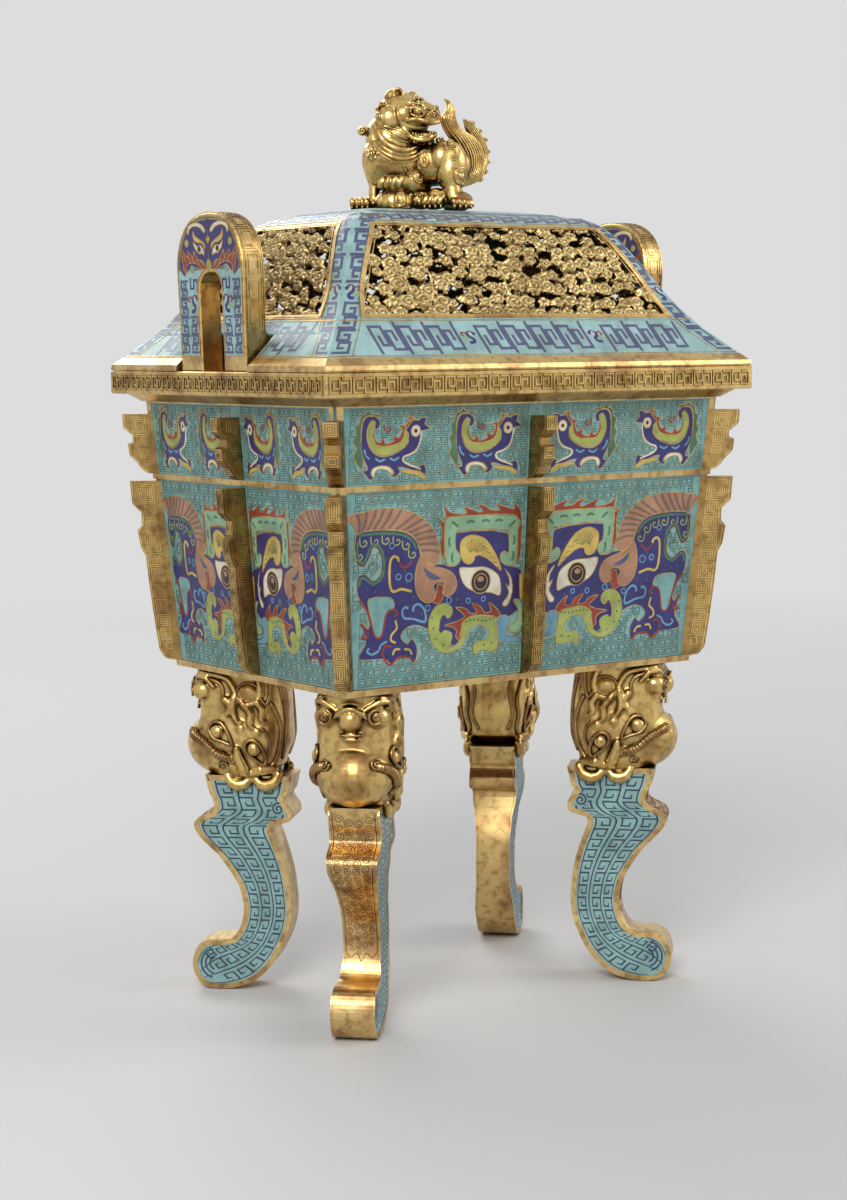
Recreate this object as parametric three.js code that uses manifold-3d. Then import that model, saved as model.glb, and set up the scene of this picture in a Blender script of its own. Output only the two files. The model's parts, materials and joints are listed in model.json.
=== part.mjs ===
// Cloisonne incense burner: a rectangular tapered vessel on four scrolled legs, with two
// loop handles, sixteen flanges and a domed cover with pierced panels and a lion finial.
// Millimetres, +Z up, origin under the centre at the floor. The front is the -Y side.
import * as THREE from "three";
import { mergeVertices } from "three/addons/utils/BufferGeometryUtils.js";
import Module from "manifold-3d";

const wasm = await Module();
wasm.setup();

// Fits
const gap = 0.3;
// How far a cut runs past the face that it opens
const past = 1;

// Vessel body: half sizes where it meets the legs and where it meets the rim
const bodyBase = { z: 291.9, halfX: 185.8, halfY: 133.1 };
const bodyTop = { z: 535.5, halfX: 205, halfY: 150.5 };
const wallThickness = 6;
const floorThickness = 6;
const baseBand = { height: 5.6, width: 60, proud: 1.2 };
const midBand = { z: 459.5, height: 4.8, proud: 1.6 };

// Rim casting
const rim = { overhangX: 22.5, overhangY: 20.75, ledge: 20, height: 20.3, ease: 1 };
const rimCove = { drop: 7, foot: 2.5, overhang: 10 };
const rebate = { width: 7.5, depth: 3 };

// Ash liner, a sheet pan hung in the rim
const liner = { sheet: 2, clearance: 5, depth: 150, taper: 12, cornerRadius: 16 };

// Handles
const handle = {
  halfWidth: 51.5,
  swell: 1.5,
  thickness: 20.5,
  rimInset: 3,
  height: 131,
  shoulder: 84,
  roundness: 0.62,
  lean: 1.7,
  slotHalf: 17.4,
  slotTop: 82,
  slotRadius: 14,
};
const tenon = { radius: 5, length: 12, root: 2 };

// Cover
const lip = {
  bevelHeight: 11,
  bevelInset: 8,
  edgeInset: 1,
  edgeHeight: 5,
  ease: 0.5,
  easeHeight: 1.5,
  flangeDrop: 9,
  flangeWidth: 3,
  flangeClearance: 2.5,
};
const cover = { rise: 123, plateau: 47.25, footInset: 0.4 };
const shellThickness = 5;
const notch = { clearance: 4, cheek: 4, cheekSink: 1, height: 40 };
const coverCorner = { lipRadius: 0.6, topRadius: 26, startHeight: 23 };
const crown = { rise: 3.5, run: 28, radius: 12 };

// Pierced panels: the windows start above the lip and end below the cover's shoulder, and
// leave a band of the cover at each corner
const panelThickness = 4;
const panelFrame = 4.2;
const windowFoot = 31.3;
const windowDrop = 15.5;
const frontWindow = { bandFoot: 23.9, bandHead: 19.2, bow: 7, rows: 3, columns: 7 };
const sideWindow = { bandFoot: 25.25, bandHead: 17.25, bow: 6, rows: 3, columns: 5 };

// Flanges
const flangeThickness = 12;
const flangeSink = 6;
const flangeClearance = { rim: 11.2, band: 1.7 };

// Legs
const footHeight = 196;
const legPlate = { border: 5, thickness: 1.5 };
const headTenon = { radius: 8, length: 20, root: 5, out: -62 };
const stud = { radius: 6, inset: 42, root: 10, nutRadius: 9, nutHeight: 7, spare: 1.5 };

// Finial
const lionHeight = 106.8;
const mast = { radius: 5, x: -42, y: -7, root: 8, spare: 2, nutRadius: 10, nutHeight: 7 };
const tailThickness = 13;

const rimBottom = bodyTop.z;
const rimTop = rimBottom + rim.height;
const lipBottom = rimTop + gap;
const lipTop = lipBottom + lip.bevelHeight;
const rimHalf = { x: bodyTop.halfX + rim.overhangX, y: bodyTop.halfY + rim.overhangY };
const mouth = { x: bodyTop.halfX - rim.ledge, y: bodyTop.halfY - rim.ledge };

// Materials
const gilt = new THREE.MeshStandardMaterial({ color: "#be9650", metalness: 1, roughness: 0.34 });
const enamel = new THREE.MeshStandardMaterial({ color: "#78afaf", metalness: 0, roughness: 0.3 });
const coverEnamel = new THREE.MeshStandardMaterial({ color: "#96c3be", metalness: 0, roughness: 0.3 });
const copper = new THREE.MeshStandardMaterial({ color: "#7a5236", metalness: 1, roughness: 0.55 });

const burner = new THREE.Group();

// A closed three.js geometry as a solid, whichever way its faces were wound
function solidOf(geometry) {
  const bare = geometry.clone();
  bare.deleteAttribute("normal");
  bare.deleteAttribute("uv");
  const merged = mergeVertices(bare, 1e-4);
  const triVerts = new Uint32Array(merged.index.array);
  const vertProperties = merged.attributes.position.array;
  const made = new wasm.Manifold(new wasm.Mesh({ numProp: 3, vertProperties, triVerts }));
  if (made.volume() > 0) return made;
  triVerts.reverse();
  return new wasm.Manifold(new wasm.Mesh({ numProp: 3, vertProperties, triVerts }));
}

function geometryOf(solid) {
  const mesh = solid.getMesh();
  const geometry = new THREE.BufferGeometry();
  geometry.setAttribute("position", new THREE.BufferAttribute(mesh.vertProperties, 3));
  geometry.setIndex(new THREE.BufferAttribute(mesh.triVerts, 1));
  const flat = geometry.toNonIndexed();
  flat.computeVertexNormals();
  return flat;
}

function piece(name, solid, material) {
  const mesh = new THREE.Mesh(geometryOf(solid), material);
  mesh.name = name;
  burner.add(mesh);
}

// A skin through equal rings of points, closed by flat ends
function loft(rings) {
  const count = rings[0].length;
  const position = rings.flat().flatMap((p) => [p.x, p.y, p.z]);
  const index = [];
  for (let i = 0; i < rings.length - 1; i++) {
    const low = i * count;
    const high = low + count;
    for (let j = 0; j < count; j++) {
      const k = (j + 1) % count;
      index.push(low + j, low + k, high + k, low + j, high + k, high + j);
    }
  }
  const last = (rings.length - 1) * count;
  for (let j = 1; j < count - 1; j++) index.push(0, j + 1, j, last, last + j, last + j + 1);
  const geometry = new THREE.BufferGeometry();
  geometry.setAttribute("position", new THREE.Float32BufferAttribute(position, 3));
  geometry.setIndex(index);
  return solidOf(geometry);
}

// A rectangle with rounded corners, as a ring of points
function rectangle(halfX, halfY, z, radius = 0, steps = 0) {
  const points = [];
  const corners = [[1, 1, 0], [-1, 1, 90], [-1, -1, 180], [1, -1, 270]];
  for (const [sx, sy, turn] of corners) {
    for (let i = 0; i <= steps; i++) {
      const angle = THREE.MathUtils.degToRad(turn + (steps ? (90 * i) / steps : 45));
      const reach = steps ? radius : 0;
      const x = sx * (halfX - reach) + reach * Math.cos(angle);
      const y = sy * (halfY - reach) + reach * Math.sin(angle);
      points.push(new THREE.Vector3(x, y, z));
    }
  }
  return points;
}

function block(x0, x1, y0, y1, z0, z1) {
  const box = new THREE.BoxGeometry(x1 - x0, y1 - y0, z1 - z0);
  box.translate((x0 + x1) / 2, (y0 + y1) / 2, (z0 + z1) / 2);
  return solidOf(box);
}

// Halves of space for trimming, wider than the part
const beyond = 2 * rimHalf.x;
const under = (z) => block(-beyond, beyond, -beyond, beyond, z - beyond, z);
const over = (z) => block(-beyond, beyond, -beyond, beyond, z, z + beyond);

function rod(radius, x, y, z0, z1, sides = 12) {
  const cylinder = new THREE.CylinderGeometry(radius, radius, z1 - z0, sides);
  cylinder.rotateX(Math.PI / 2);
  cylinder.translate(x, y, (z0 + z1) / 2);
  return solidOf(cylinder);
}

// A flat outline given a thickness: it runs along "along" and up, centred on "origin"
function slab(outline, thickness, origin, along) {
  const shape = new THREE.Shape(outline);
  const geometry = new THREE.ExtrudeGeometry(shape, { depth: thickness, bevelEnabled: false });
  geometry.translate(0, 0, -thickness / 2);
  const up = new THREE.Vector3(0, 0, 1);
  const side = along.clone().normalize();
  const across = new THREE.Vector3().crossVectors(side, up);
  geometry.applyMatrix4(new THREE.Matrix4().makeBasis(side, up, across).setPosition(origin));
  return solidOf(geometry);
}

const plan = (points) => points.map(([u, v]) => new THREE.Vector2(u, v));
const union = (solids) => solids.reduce((a, b) => a.add(b));

// Half sizes of the tapered body at a height
function bodyHalf(z) {
  const t = (z - bodyBase.z) / (bodyTop.z - bodyBase.z);
  return {
    x: THREE.MathUtils.lerp(bodyBase.halfX, bodyTop.halfX, t),
    y: THREE.MathUtils.lerp(bodyBase.halfY, bodyTop.halfY, t),
  };
}

const bodyRing = (z, grow) => rectangle(bodyHalf(z).x + grow, bodyHalf(z).y + grow, z);
const bodyBlock = (z0, z1, grow) => loft([bodyRing(z0, grow), bodyRing(z1, grow)]);

// Walls: four tapered plates, mitred at the corners
const bandTop = bodyBase.z + baseBand.height;
const wallFoot = bandTop + gap;
const wallHead = rimBottom - gap;

function wallPlate(alongX, sign) {
  const mitre = gap * Math.SQRT1_2;
  const ring = (z) => {
    const half = bodyHalf(z);
    const reach = (alongX ? half.x : half.y) - mitre;
    const face = alongX ? half.y : half.x;
    const section = [
      [-reach, face],
      [reach, face],
      [reach - wallThickness, face - wallThickness],
      [wallThickness - reach, face - wallThickness],
    ];
    return section.map(([u, v]) =>
      alongX ? new THREE.Vector3(u, sign * v, z) : new THREE.Vector3(sign * v, u, z),
    );
  };
  return loft([ring(wallFoot), ring(wallHead)]);
}

piece("wall_front", wallPlate(true, -1), enamel);
piece("wall_back", wallPlate(true, 1), enamel);
piece("wall_left", wallPlate(false, -1), enamel);
piece("wall_right", wallPlate(false, 1), enamel);

// Base: a band that carries the walls and the floor, pierced for the studs of the legs
const corners = [
  ["front_left", -1, -1],
  ["front_right", 1, -1],
  ["back_left", -1, 1],
  ["back_right", 1, 1],
];
const studX = bodyBase.halfX - stud.inset;
const studY = bodyBase.halfY - stud.inset;
const studHoles = (z0, z1) =>
  union(corners.map(([, sx, sy]) => rod(stud.radius + gap, sx * studX, sy * studY, z0, z1, 8)));

const bandHalf = {
  x: bodyBase.halfX - baseBand.width,
  y: bodyBase.halfY - baseBand.width,
};
piece(
  "base_band",
  bodyBlock(bodyBase.z, bandTop, baseBand.proud)
    .subtract(
      block(-bandHalf.x, bandHalf.x, -bandHalf.y, bandHalf.y, bodyBase.z - past, bandTop + past),
    )
    .subtract(studHoles(bodyBase.z - past, bandTop + past)),
  gilt,
);

const floorTop = wallFoot + floorThickness;
const floorHalf = {
  x: bodyHalf(wallFoot).x - wallThickness - gap,
  y: bodyHalf(wallFoot).y - wallThickness - gap,
};
piece(
  "floor_plate",
  block(-floorHalf.x, floorHalf.x, -floorHalf.y, floorHalf.y, wallFoot, floorTop).subtract(
    studHoles(wallFoot - past, floorTop + past),
  ),
  copper,
);

const midTop = midBand.z + midBand.height;
piece(
  "mid_band",
  bodyBlock(midBand.z, midTop, midBand.proud).subtract(
    bodyBlock(midBand.z - past, midTop + past, gap),
  ),
  gilt,
);

// Rim: a frame with a cove below and a rebate above that carries the liner
const handleOuter = rimHalf.x - handle.rimInset;
const handleX = handleOuter - handle.thickness / 2;
const jambY = (handle.halfWidth + handle.slotHalf) / 2;
const tenonSpots = [-1, 1].flatMap((sx) => [-1, 1].map((sy) => [sx * handleX, sy * jambY]));
const rimRing = (inset, z) => rectangle(rimHalf.x - inset, rimHalf.y - inset, z);
const rebateHalf = { x: mouth.x + rebate.width, y: mouth.y + rebate.width };
const rebateFloor = rimTop - rebate.depth;
const rimSolid = loft([
  bodyRing(rimBottom - rimCove.drop, gap + rimCove.foot),
  rimRing(rimCove.overhang, rimBottom),
  rimRing(rim.ease, rimBottom),
  rimRing(0, rimBottom + rim.ease),
  rimRing(0, rimTop - rim.ease),
  rimRing(rim.ease, rimTop),
])
  .subtract(bodyBlock(rimBottom - rim.height, rimBottom, gap))
  .subtract(block(-mouth.x, mouth.x, -mouth.y, mouth.y, rimBottom - rim.height, rimTop + past))
  .subtract(
    block(-rebateHalf.x, rebateHalf.x, -rebateHalf.y, rebateHalf.y, rebateFloor, rimTop + past),
  )
  .subtract(
    union(
      tenonSpots.map(([x, y]) =>
        rod(tenon.radius + gap, x, y, rimTop - tenon.length - gap, rimTop + past, 16),
      ),
    ),
  );
piece("rim_frame", rimSolid, gilt);

// Ash liner: it hangs clear of the mouth and of the walls
const linerRoom = {
  x: Math.min(mouth.x, bodyTop.halfX - wallThickness),
  y: Math.min(mouth.y, bodyTop.halfY - wallThickness),
};
const linerWall = { x: linerRoom.x - liner.clearance, y: linerRoom.y - liner.clearance };
const linerFlange = { x: rebateHalf.x - gap, y: rebateHalf.y - gap };
const linerZ = rebateFloor + gap;
const linerTop = linerZ + liner.sheet;
function pan(grow, z0, z1) {
  const x = linerWall.x + grow;
  const y = linerWall.y + grow;
  const corner = liner.cornerRadius;
  return loft([
    rectangle(x - liner.taper, y - liner.taper, z0, corner, 3),
    rectangle(x, y, z1, corner, 3),
  ]);
}
piece(
  "ash_liner",
  block(-linerFlange.x, linerFlange.x, -linerFlange.y, linerFlange.y, linerZ, linerTop)
    .add(pan(0, linerZ - liner.depth, linerTop))
    .subtract(pan(-liner.sheet, linerZ - liner.depth + liner.sheet, linerTop + past)),
  copper,
);

// Handles: an upright loop on each short side of the rim, leaning out
function handleOutline() {
  const shape = new THREE.Path();
  const foot = handle.halfWidth;
  const wide = handle.halfWidth + handle.swell;
  const top = handle.height;
  const square = handle.shoulder + (top - handle.shoulder) * handle.roundness;
  const arch = wide * handle.roundness;
  shape.moveTo(-foot, 0);
  shape.lineTo(-wide, handle.shoulder);
  shape.bezierCurveTo(-wide, square, -arch, top, 0, top);
  shape.bezierCurveTo(arch, top, wide, square, wide, handle.shoulder);
  shape.lineTo(foot, 0);
  return shape.getPoints(7);
}

function slotOutline() {
  const shape = new THREE.Path();
  const side = handle.slotHalf - handle.slotRadius;
  const spring = handle.slotTop - handle.slotRadius;
  shape.moveTo(handle.slotHalf, -past);
  shape.lineTo(handle.slotHalf, spring);
  shape.absarc(side, spring, handle.slotRadius, 0, Math.PI / 2);
  shape.absarc(-side, spring, handle.slotRadius, Math.PI / 2, Math.PI);
  shape.lineTo(-handle.slotHalf, -past);
  return shape.getPoints(4);
}

function handleSolid(sign) {
  const origin = new THREE.Vector3();
  const across = new THREE.Vector3(0, 1, 0);
  const loop = slab(handleOutline(), handle.thickness, origin, across);
  const slot = slab(slotOutline(), handle.thickness + 2 * past, origin, across);
  const lean = Math.tan(THREE.MathUtils.degToRad(handle.lean));
  const geometry = geometryOf(loop.subtract(slot));
  const shear = new THREE.Matrix4().makeShear(0, 0, 0, 0, sign * lean, 0);
  geometry.applyMatrix4(shear);
  geometry.translate(sign * handleX, 0, lipBottom);
  const pegs = tenonSpots
    .filter(([x]) => Math.sign(x) === sign)
    .map(([x, y]) => rod(tenon.radius, x, y, rimTop - tenon.length, lipBottom + tenon.root, 16));
  return union([solidOf(geometry), ...pegs]);
}

piece("handle_left", handleSolid(-1), gilt);
piece("handle_right", handleSolid(1), gilt);

// Flanges: notched fins down the corners and the middle of each side, drawn as
// projection from the wall against the share of the panel's height
const upperFlange = [
  [21.5, 1], [22, 0.77], [14.5, 0.65], [15, 0.53], [19.5, 0.5], [19.3, 0.31], [13.5, 0.19],
  [9.5, 0.07], [4, 0],
];
const lowerFlange = [
  [22, 1], [22.5, 0.872], [15, 0.826], [16, 0.754], [20.5, 0.726], [19.5, 0.63], [16, 0.58],
  [16, 0.4], [15, 0.162], [14, 0.05], [9.5, 0.008], [3, 0],
];
const envelope = bodyBlock(bodyBase.z, bodyTop.z, gap);
const frieze = { low: midTop + gap, high: rimBottom - rimCove.drop - flangeClearance.rim };
const panel = { low: bandTop + gap, high: midBand.z - flangeClearance.band };

function flange(profile, span, side) {
  const height = span.high - span.low;
  const edge = profile.map(([out, share]) => [out, span.low + share * height]);
  const outline = plan([[-flangeSink, span.high], ...edge, [-flangeSink, span.low]]);
  const geometry = geometryOf(slab(outline, flangeThickness, new THREE.Vector3(), side));
  const position = geometry.attributes.position;
  for (let i = 0; i < position.count; i++) {
    const half = bodyHalf(position.getZ(i));
    position.setX(i, position.getX(i) + side.x * half.x);
    position.setY(i, position.getY(i) + side.y * half.y);
  }
  return solidOf(geometry).subtract(envelope);
}

const flangeSides = [
  ...corners.map(([name, sx, sy]) => [name, new THREE.Vector3(sx, sy, 0)]),
  ["front", new THREE.Vector3(0, -1, 0)],
  ["back", new THREE.Vector3(0, 1, 0)],
  ["left", new THREE.Vector3(-1, 0, 0)],
  ["right", new THREE.Vector3(1, 0, 0)],
];
for (const [name, side] of flangeSides) {
  piece("flange_upper_" + name, flange(upperFlange, frieze, side), gilt);
  piece("flange_lower_" + name, flange(lowerFlange, panel, side), gilt);
}

// A swelling form: a ball stretched along three axes and leaned in the XZ plane
function ball(place, radii, lean = 0, segments = 6, rings = 5) {
  const sphere = new THREE.SphereGeometry(1, segments, rings);
  sphere.rotateX(Math.PI / 2);
  sphere.scale(...radii);
  sphere.rotateY(THREE.MathUtils.degToRad(lean));
  sphere.translate(...place);
  return sphere;
}

// A limb: a rounded bar between two places, thick at one end
function limb(from, to, thick, thin) {
  const a = new THREE.Vector3(...from);
  const b = new THREE.Vector3(...to);
  const bar = new THREE.CylinderGeometry(thin, thick, a.distanceTo(b), 6, 1);
  const turn = new THREE.Quaternion();
  turn.setFromUnitVectors(new THREE.Vector3(0, 1, 0), b.clone().sub(a).normalize());
  bar.applyQuaternion(turn);
  bar.translate(...a.add(b).multiplyScalar(0.5));
  return bar;
}

// Feet: the outline of a scrolled foot, seen from its side. Distances run outwards from the
// body's corner along the diagonal, heights are shares of the foot's height
const footFront = [
  [-27.5, 1], [-35.3, 0.86], [-16.4, 0.765], [-22, 0.709],
  [-39, 0.617], [-52, 0.518], [-58.5, 0.428], [-58.8, 0.327], [-50, 0.244], [-28, 0.2296],
  [-16, 0.184], [-12.3, 0.115], [-19.5, 0.035], [-32, 0], [-47, 0],
];
const footBack = [
  [-60, 0.018], [-81.6, 0.107], [-98, 0.235], [-104, 0.385], [-100.8, 0.543], [-88.5, 0.768],
  [-104, 0.79], [-105.8, 0.84], [-99.8, 0.893], [-107, 0.99],
];
const footWidths = [
  [21.5, 1.1], [21.5, 0.78], [15.5, 0.54], [15.5, 0.3], [18.2, 0.19], [18.2, -0.1],
];

// An outline with every edge moved inwards by a distance
function shrunk(outline, distance) {
  const turn = THREE.ShapeUtils.area(outline) > 0 ? 1 : -1;
  const inward = (a, b) => {
    const along = b.clone().sub(a).normalize();
    return new THREE.Vector2(-along.y, along.x).multiplyScalar(turn);
  };
  return outline.map((p, i) => {
    const before = inward(outline[(i + outline.length - 1) % outline.length], p);
    const after = inward(p, outline[(i + 1) % outline.length]);
    const reach = distance / (1 + before.dot(after));
    return p.clone().add(before.add(after).multiplyScalar(reach));
  });
}

// The same for a wide border, where points that would fold over are left out
function inset(outline, distance) {
  const clear = (q) =>
    outline.every((a, i) => {
      const b = outline[(i + 1) % outline.length];
      const span = b.clone().sub(a);
      const t = THREE.MathUtils.clamp(q.clone().sub(a).dot(span) / span.lengthSq(), 0, 1);
      return q.distanceTo(a.clone().addScaledVector(span, t)) > distance * 0.98;
    });
  return shrunk(outline, distance).filter(clear);
}

const footCurve = [...footFront, ...footBack].map(([u, share]) => [u, share * footHeight]);
const footRing = plan(footCurve);
const plateRecess = inset(footRing, legPlate.border);
const plateRing = shrunk(plateRecess, gap);

// What lies between the two side faces of a foot, with the faces moved in by a depth
function betweenFaces(depth) {
  const right = footWidths.map(([half, share]) => [half - depth, share * footHeight]);
  const left = right.map(([half, z]) => [-half, z]).reverse();
  return plan([...right, ...left]);
}

// The head of a leg, drawn from its own foot at a height of headDrawing and then scaled to
// the space it has: levels are a share of its height, back, front and half width
const headDrawing = 95.3;
const headLevels = [
  [0, -90, -34, 25], [0.1, -97, -26, 30], [0.35, -104, -20, 34.5], [0.66, -103, -22, 32],
  [1, -100, -19, 30],
];
const headSteps = 8;
const headSquareness = 0.62;
const noseForms = [
  [[-41, 0, 26.7], [33, 33, 29], 8, 5],
  [[-22, 0, 75.7], [11, 10, 10.5], 5, 4],
];
// Forms of the mask that repeat on both sides of a head
const maskForms = [
  [[-27, 20, 77.7], [9, 11, 9]],
  [[-42, 33.5, 39.7], [9.5, 7, 9]],
  [[-75, 34, 25.7], [9, 7, 8]],
  [[-36, 33, 28.7], [15, 5.5, 5]],
  [[-71, 30, 74.7], [12, 5, 8]],
  [[-70, 27, 0.7], [26, 8, 10]],
];

function leg(name, sx, sy) {
  const corner = new THREE.Vector3(sx * bodyBase.halfX, sy * bodyBase.halfY, 0);
  const out = new THREE.Vector3(sx, sy, 0).normalize();
  const across = new THREE.Vector3().crossVectors(out, new THREE.Vector3(0, 0, 1));
  const stand = new THREE.Matrix4()
    .makeBasis(out, across.clone().negate(), new THREE.Vector3(0, 0, 1))
    .setPosition(corner);
  const at = (u, v, z) => new THREE.Vector3(u, v, z).applyMatrix4(stand);

  const headFoot = footHeight + gap;
  const headHeight = bodyBase.z - gap - headFoot;
  const headScale = headHeight / headDrawing;
  const onHead = new THREE.Matrix4().makeScale(headScale, headScale, headScale);
  onHead.setPosition(0, 0, headFoot).premultiply(stand);
  const stood = (geometry) => solidOf(geometry.applyMatrix4(onHead));
  const rings = headLevels.map(([share, back, front, half]) => {
    const ring = [];
    for (let i = 0; i < headSteps; i++) {
      const angle = (2 * Math.PI * i) / headSteps;
      const square = (value) => Math.sign(value) * Math.abs(value) ** headSquareness;
      const u = (back + front) / 2 + ((front - back) / 2) * square(Math.cos(angle));
      const v = half * square(Math.sin(angle));
      ring.push(new THREE.Vector3(u, v, share * headDrawing).applyMatrix4(onHead));
    }
    return ring;
  });
  const forms = noseForms.map(([place, radii, ...steps]) => stood(ball(place, radii, 0, ...steps)));
  for (const [[u, v, z], radii] of maskForms) {
    for (const side of [-1, 1]) forms.push(stood(ball([u, side * v, z], radii, 0, 5, 3)));
  }
  const peg = at(headTenon.out, 0, 0);
  const pegTop = headFoot + headTenon.length;
  const studTop = floorTop + gap + stud.nutHeight + stud.spare;
  const between = (depth) => slab(betweenFaces(depth), beyond, peg, across);
  // Lips hang over the foot's faces, so the space of the foot is cut from the head
  const footSpace = between(-gap).intersect(under(headFoot));
  piece(
    "leg_head_" + name,
    union([loft(rings), ...forms])
      .subtract(footSpace)
      .subtract(over(bodyBase.z - gap))
      .add(rod(stud.radius, sx * studX, sy * studY, bodyBase.z - stud.root, studTop, 8))
      .subtract(rod(headTenon.radius + gap, peg.x, peg.y, headFoot - past, pegTop + gap, 8)),
    gilt,
  );

  const nutFoot = floorTop + gap;
  const nutHead = nutFoot + stud.nutHeight;
  piece(
    "leg_nut_" + name,
    rod(stud.nutRadius, sx * studX, sy * studY, nutFoot, nutHead, 6).subtract(
      rod(stud.radius + gap, sx * studX, sy * studY, nutFoot - past, nutHead + past, 8),
    ),
    copper,
  );

  // The foot with its two recessed enamel plates
  const footBody = slab(footRing, beyond, corner, out).intersect(between(0));
  const recess = slab(plateRecess, beyond, corner, out).subtract(between(legPlate.thickness));
  piece(
    "leg_foot_" + name,
    footBody
      .subtract(recess)
      .add(rod(headTenon.radius, peg.x, peg.y, footHeight - headTenon.root, pegTop, 8)),
    gilt,
  );
  const plates = slab(plateRing, beyond, corner, out)
    .intersect(between(0))
    .subtract(between(legPlate.thickness - gap))
    .decompose();
  for (const plate of plates) {
    const box = plate.boundingBox();
    const centre = new THREE.Vector3(
      (box.min[0] + box.max[0]) / 2,
      (box.min[1] + box.max[1]) / 2,
      0,
    );
    const label = centre.sub(corner).dot(across) < 0 ? "_near_plate" : "_far_plate";
    piece("leg_" + name + label, plate, enamel);
  }
}

for (const [name, sx, sy] of corners) leg(name, sx, sy);

// Cover lip: a bevelled ring with a locating flange that drops inside the liner
const inLip = (s) => ({ x: rimHalf.x - s, y: rimHalf.y - s });
const lipRing = (s, z) => rectangle(inLip(s).x, inLip(s).y, z);
const lipInnerGap = liner.sheet + lip.flangeClearance + lip.flangeWidth;
const lipInner = { x: linerWall.x - lipInnerGap, y: linerWall.y - lipInnerGap };
const flangeRing = (grow, z, radius = liner.cornerRadius) =>
  rectangle(lipInner.x + grow, lipInner.y + grow, z, radius, radius ? 2 : 0);
const notchHalf = handle.halfWidth + handle.swell + notch.clearance;
const notchX = handleOuter - handle.thickness - notch.clearance;
const notchTop = lipBottom + notch.height;
const notchCut = (z0) =>
  union([-1, 1].map((side) => {
    const ends = [side * notchX, side * beyond].sort((a, b) => a - b);
    return block(...ends, -notchHalf, notchHalf, z0, notchTop);
  }));
const flangeFoot = lipBottom - lip.flangeDrop;
const lipFlange = loft([
  flangeRing(lip.flangeWidth, flangeFoot),
  flangeRing(lip.flangeWidth, lipBottom + past),
]).subtract(loft([flangeRing(0, flangeFoot - past), flangeRing(0, lipBottom + 2 * past)]));
piece(
  "cover_lip",
  loft([
    lipRing(lip.ease, lipBottom),
    lipRing(0, lipBottom + lip.easeHeight),
    lipRing(lip.edgeInset, lipBottom + lip.edgeHeight),
    lipRing(lip.bevelInset, lipTop),
  ])
    .subtract(loft([flangeRing(0, lipBottom - past, 0), flangeRing(0, lipTop + past, 0)]))
    .subtract(notchCut(lipBottom - past))
    .add(lipFlange),
  gilt,
);

// Cover shell: the skirt is concave, the dome convex, and the corners round off upwards.
// The profile is drawn as shares of the way in from the lip's bevel and of the rise
const coverFoot = lip.bevelInset + cover.footInset;
const coverRun = rimHalf.y - cover.plateau;
const coverProfile = [
  [0, 0], [0.1, 0.0935], [0.204, 0.191], [0.291, 0.293], [0.394, 0.439], [0.49, 0.61],
  [0.593, 0.78], [0.671, 0.874], [0.775, 0.947], [1, 1],
].map(([s, h]) => new THREE.Vector2(
  THREE.MathUtils.lerp(coverFoot, coverRun, s),
  lipTop + gap + h * cover.rise,
));
const domeTop = coverProfile[coverProfile.length - 1].y + crown.rise;

function offsetProfile(profile, distance) {
  return profile.map((p, i) => {
    const before = profile[Math.max(0, i - 1)];
    const after = profile[Math.min(profile.length - 1, i + 1)];
    const along = after.clone().sub(before).normalize();
    const normal = new THREE.Vector2(along.y, -along.x);
    if (i === 0) return new THREE.Vector2(p.x + distance / along.y, p.y);
    return p.clone().addScaledVector(normal, distance);
  });
}

function coverSolid(depth) {
  const profile = offsetProfile(coverProfile, depth);
  const { lipRadius, topRadius, startHeight } = coverCorner;
  const rings = profile.map((p, i) => {
    const share = THREE.MathUtils.smoothstep(coverProfile[i].y - lipTop, startHeight, cover.rise);
    const radius = Math.max(lipRadius, lipRadius + topRadius * share - depth * 0.2);
    return rectangle(inLip(p.x).x, inLip(p.x).y, p.y, radius, 2);
  });
  if (depth) {
    const foot = inLip(profile[0].x);
    rings.unshift(rectangle(foot.x, foot.y, profile[0].y - past, lipRadius, 2));
  }
  const edge = profile[profile.length - 1];
  const flat = inLip(edge.x + crown.run);
  rings.push(rectangle(flat.x, flat.y, edge.y + crown.rise, crown.radius, 2));
  return loft(rings);
}

const coverOuter = coverSolid(0);
const coverInner = coverSolid(shellThickness);
const xAxis = new THREE.Vector3(1, 0, 0);
const yAxis = new THREE.Vector3(0, 1, 0);
const windowLow = lipTop + windowFoot;
const windowHigh = lipTop + gap + cover.rise - windowDrop;

// How far in from the lip's edge the cover's outside lies at a height
function insetAt(z) {
  const i = coverProfile.findIndex((p) => p.y >= z);
  const [a, b] = [coverProfile[i - 1], coverProfile[i]];
  return THREE.MathUtils.mapLinear(z, a.y, b.y, a.x, b.x);
}

// Half widths of a window at its foot and its head
function windowHalf(size, axis) {
  const rimReach = axis === xAxis ? rimHalf.x : rimHalf.y;
  return {
    bottom: rimReach - insetAt(windowLow) - size.bandFoot,
    top: rimReach - insetAt(windowHigh) - size.bandHead,
  };
}

function windowOutline(size, axis, shrink) {
  const half = windowHalf(size, axis);
  const b = half.bottom - shrink;
  const t = half.top - shrink;
  const low = windowLow + shrink;
  const high = windowHigh - shrink;
  const bend = (b + t) / 2 + size.bow;
  const middle = (low + high) / 2 + size.bow;
  const path = new THREE.Path();
  path.moveTo(-b, low);
  path.lineTo(b, low);
  path.quadraticCurveTo(bend, middle, t, high);
  path.lineTo(-t, high);
  path.quadraticCurveTo(-bend, middle, -b, low);
  return path.getPoints(4);
}

// A flat outline pushed through one side of the cover
function throughSide(outline, axis, sign) {
  const outward = axis === xAxis ? yAxis : xAxis;
  const outer = axis === xAxis ? rimHalf.y : rimHalf.x;
  const depth = outer - crown.radius;
  const origin = outward.clone().multiplyScalar(sign * (outer - depth / 2));
  return slab(outline, depth, origin, axis);
}

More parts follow.
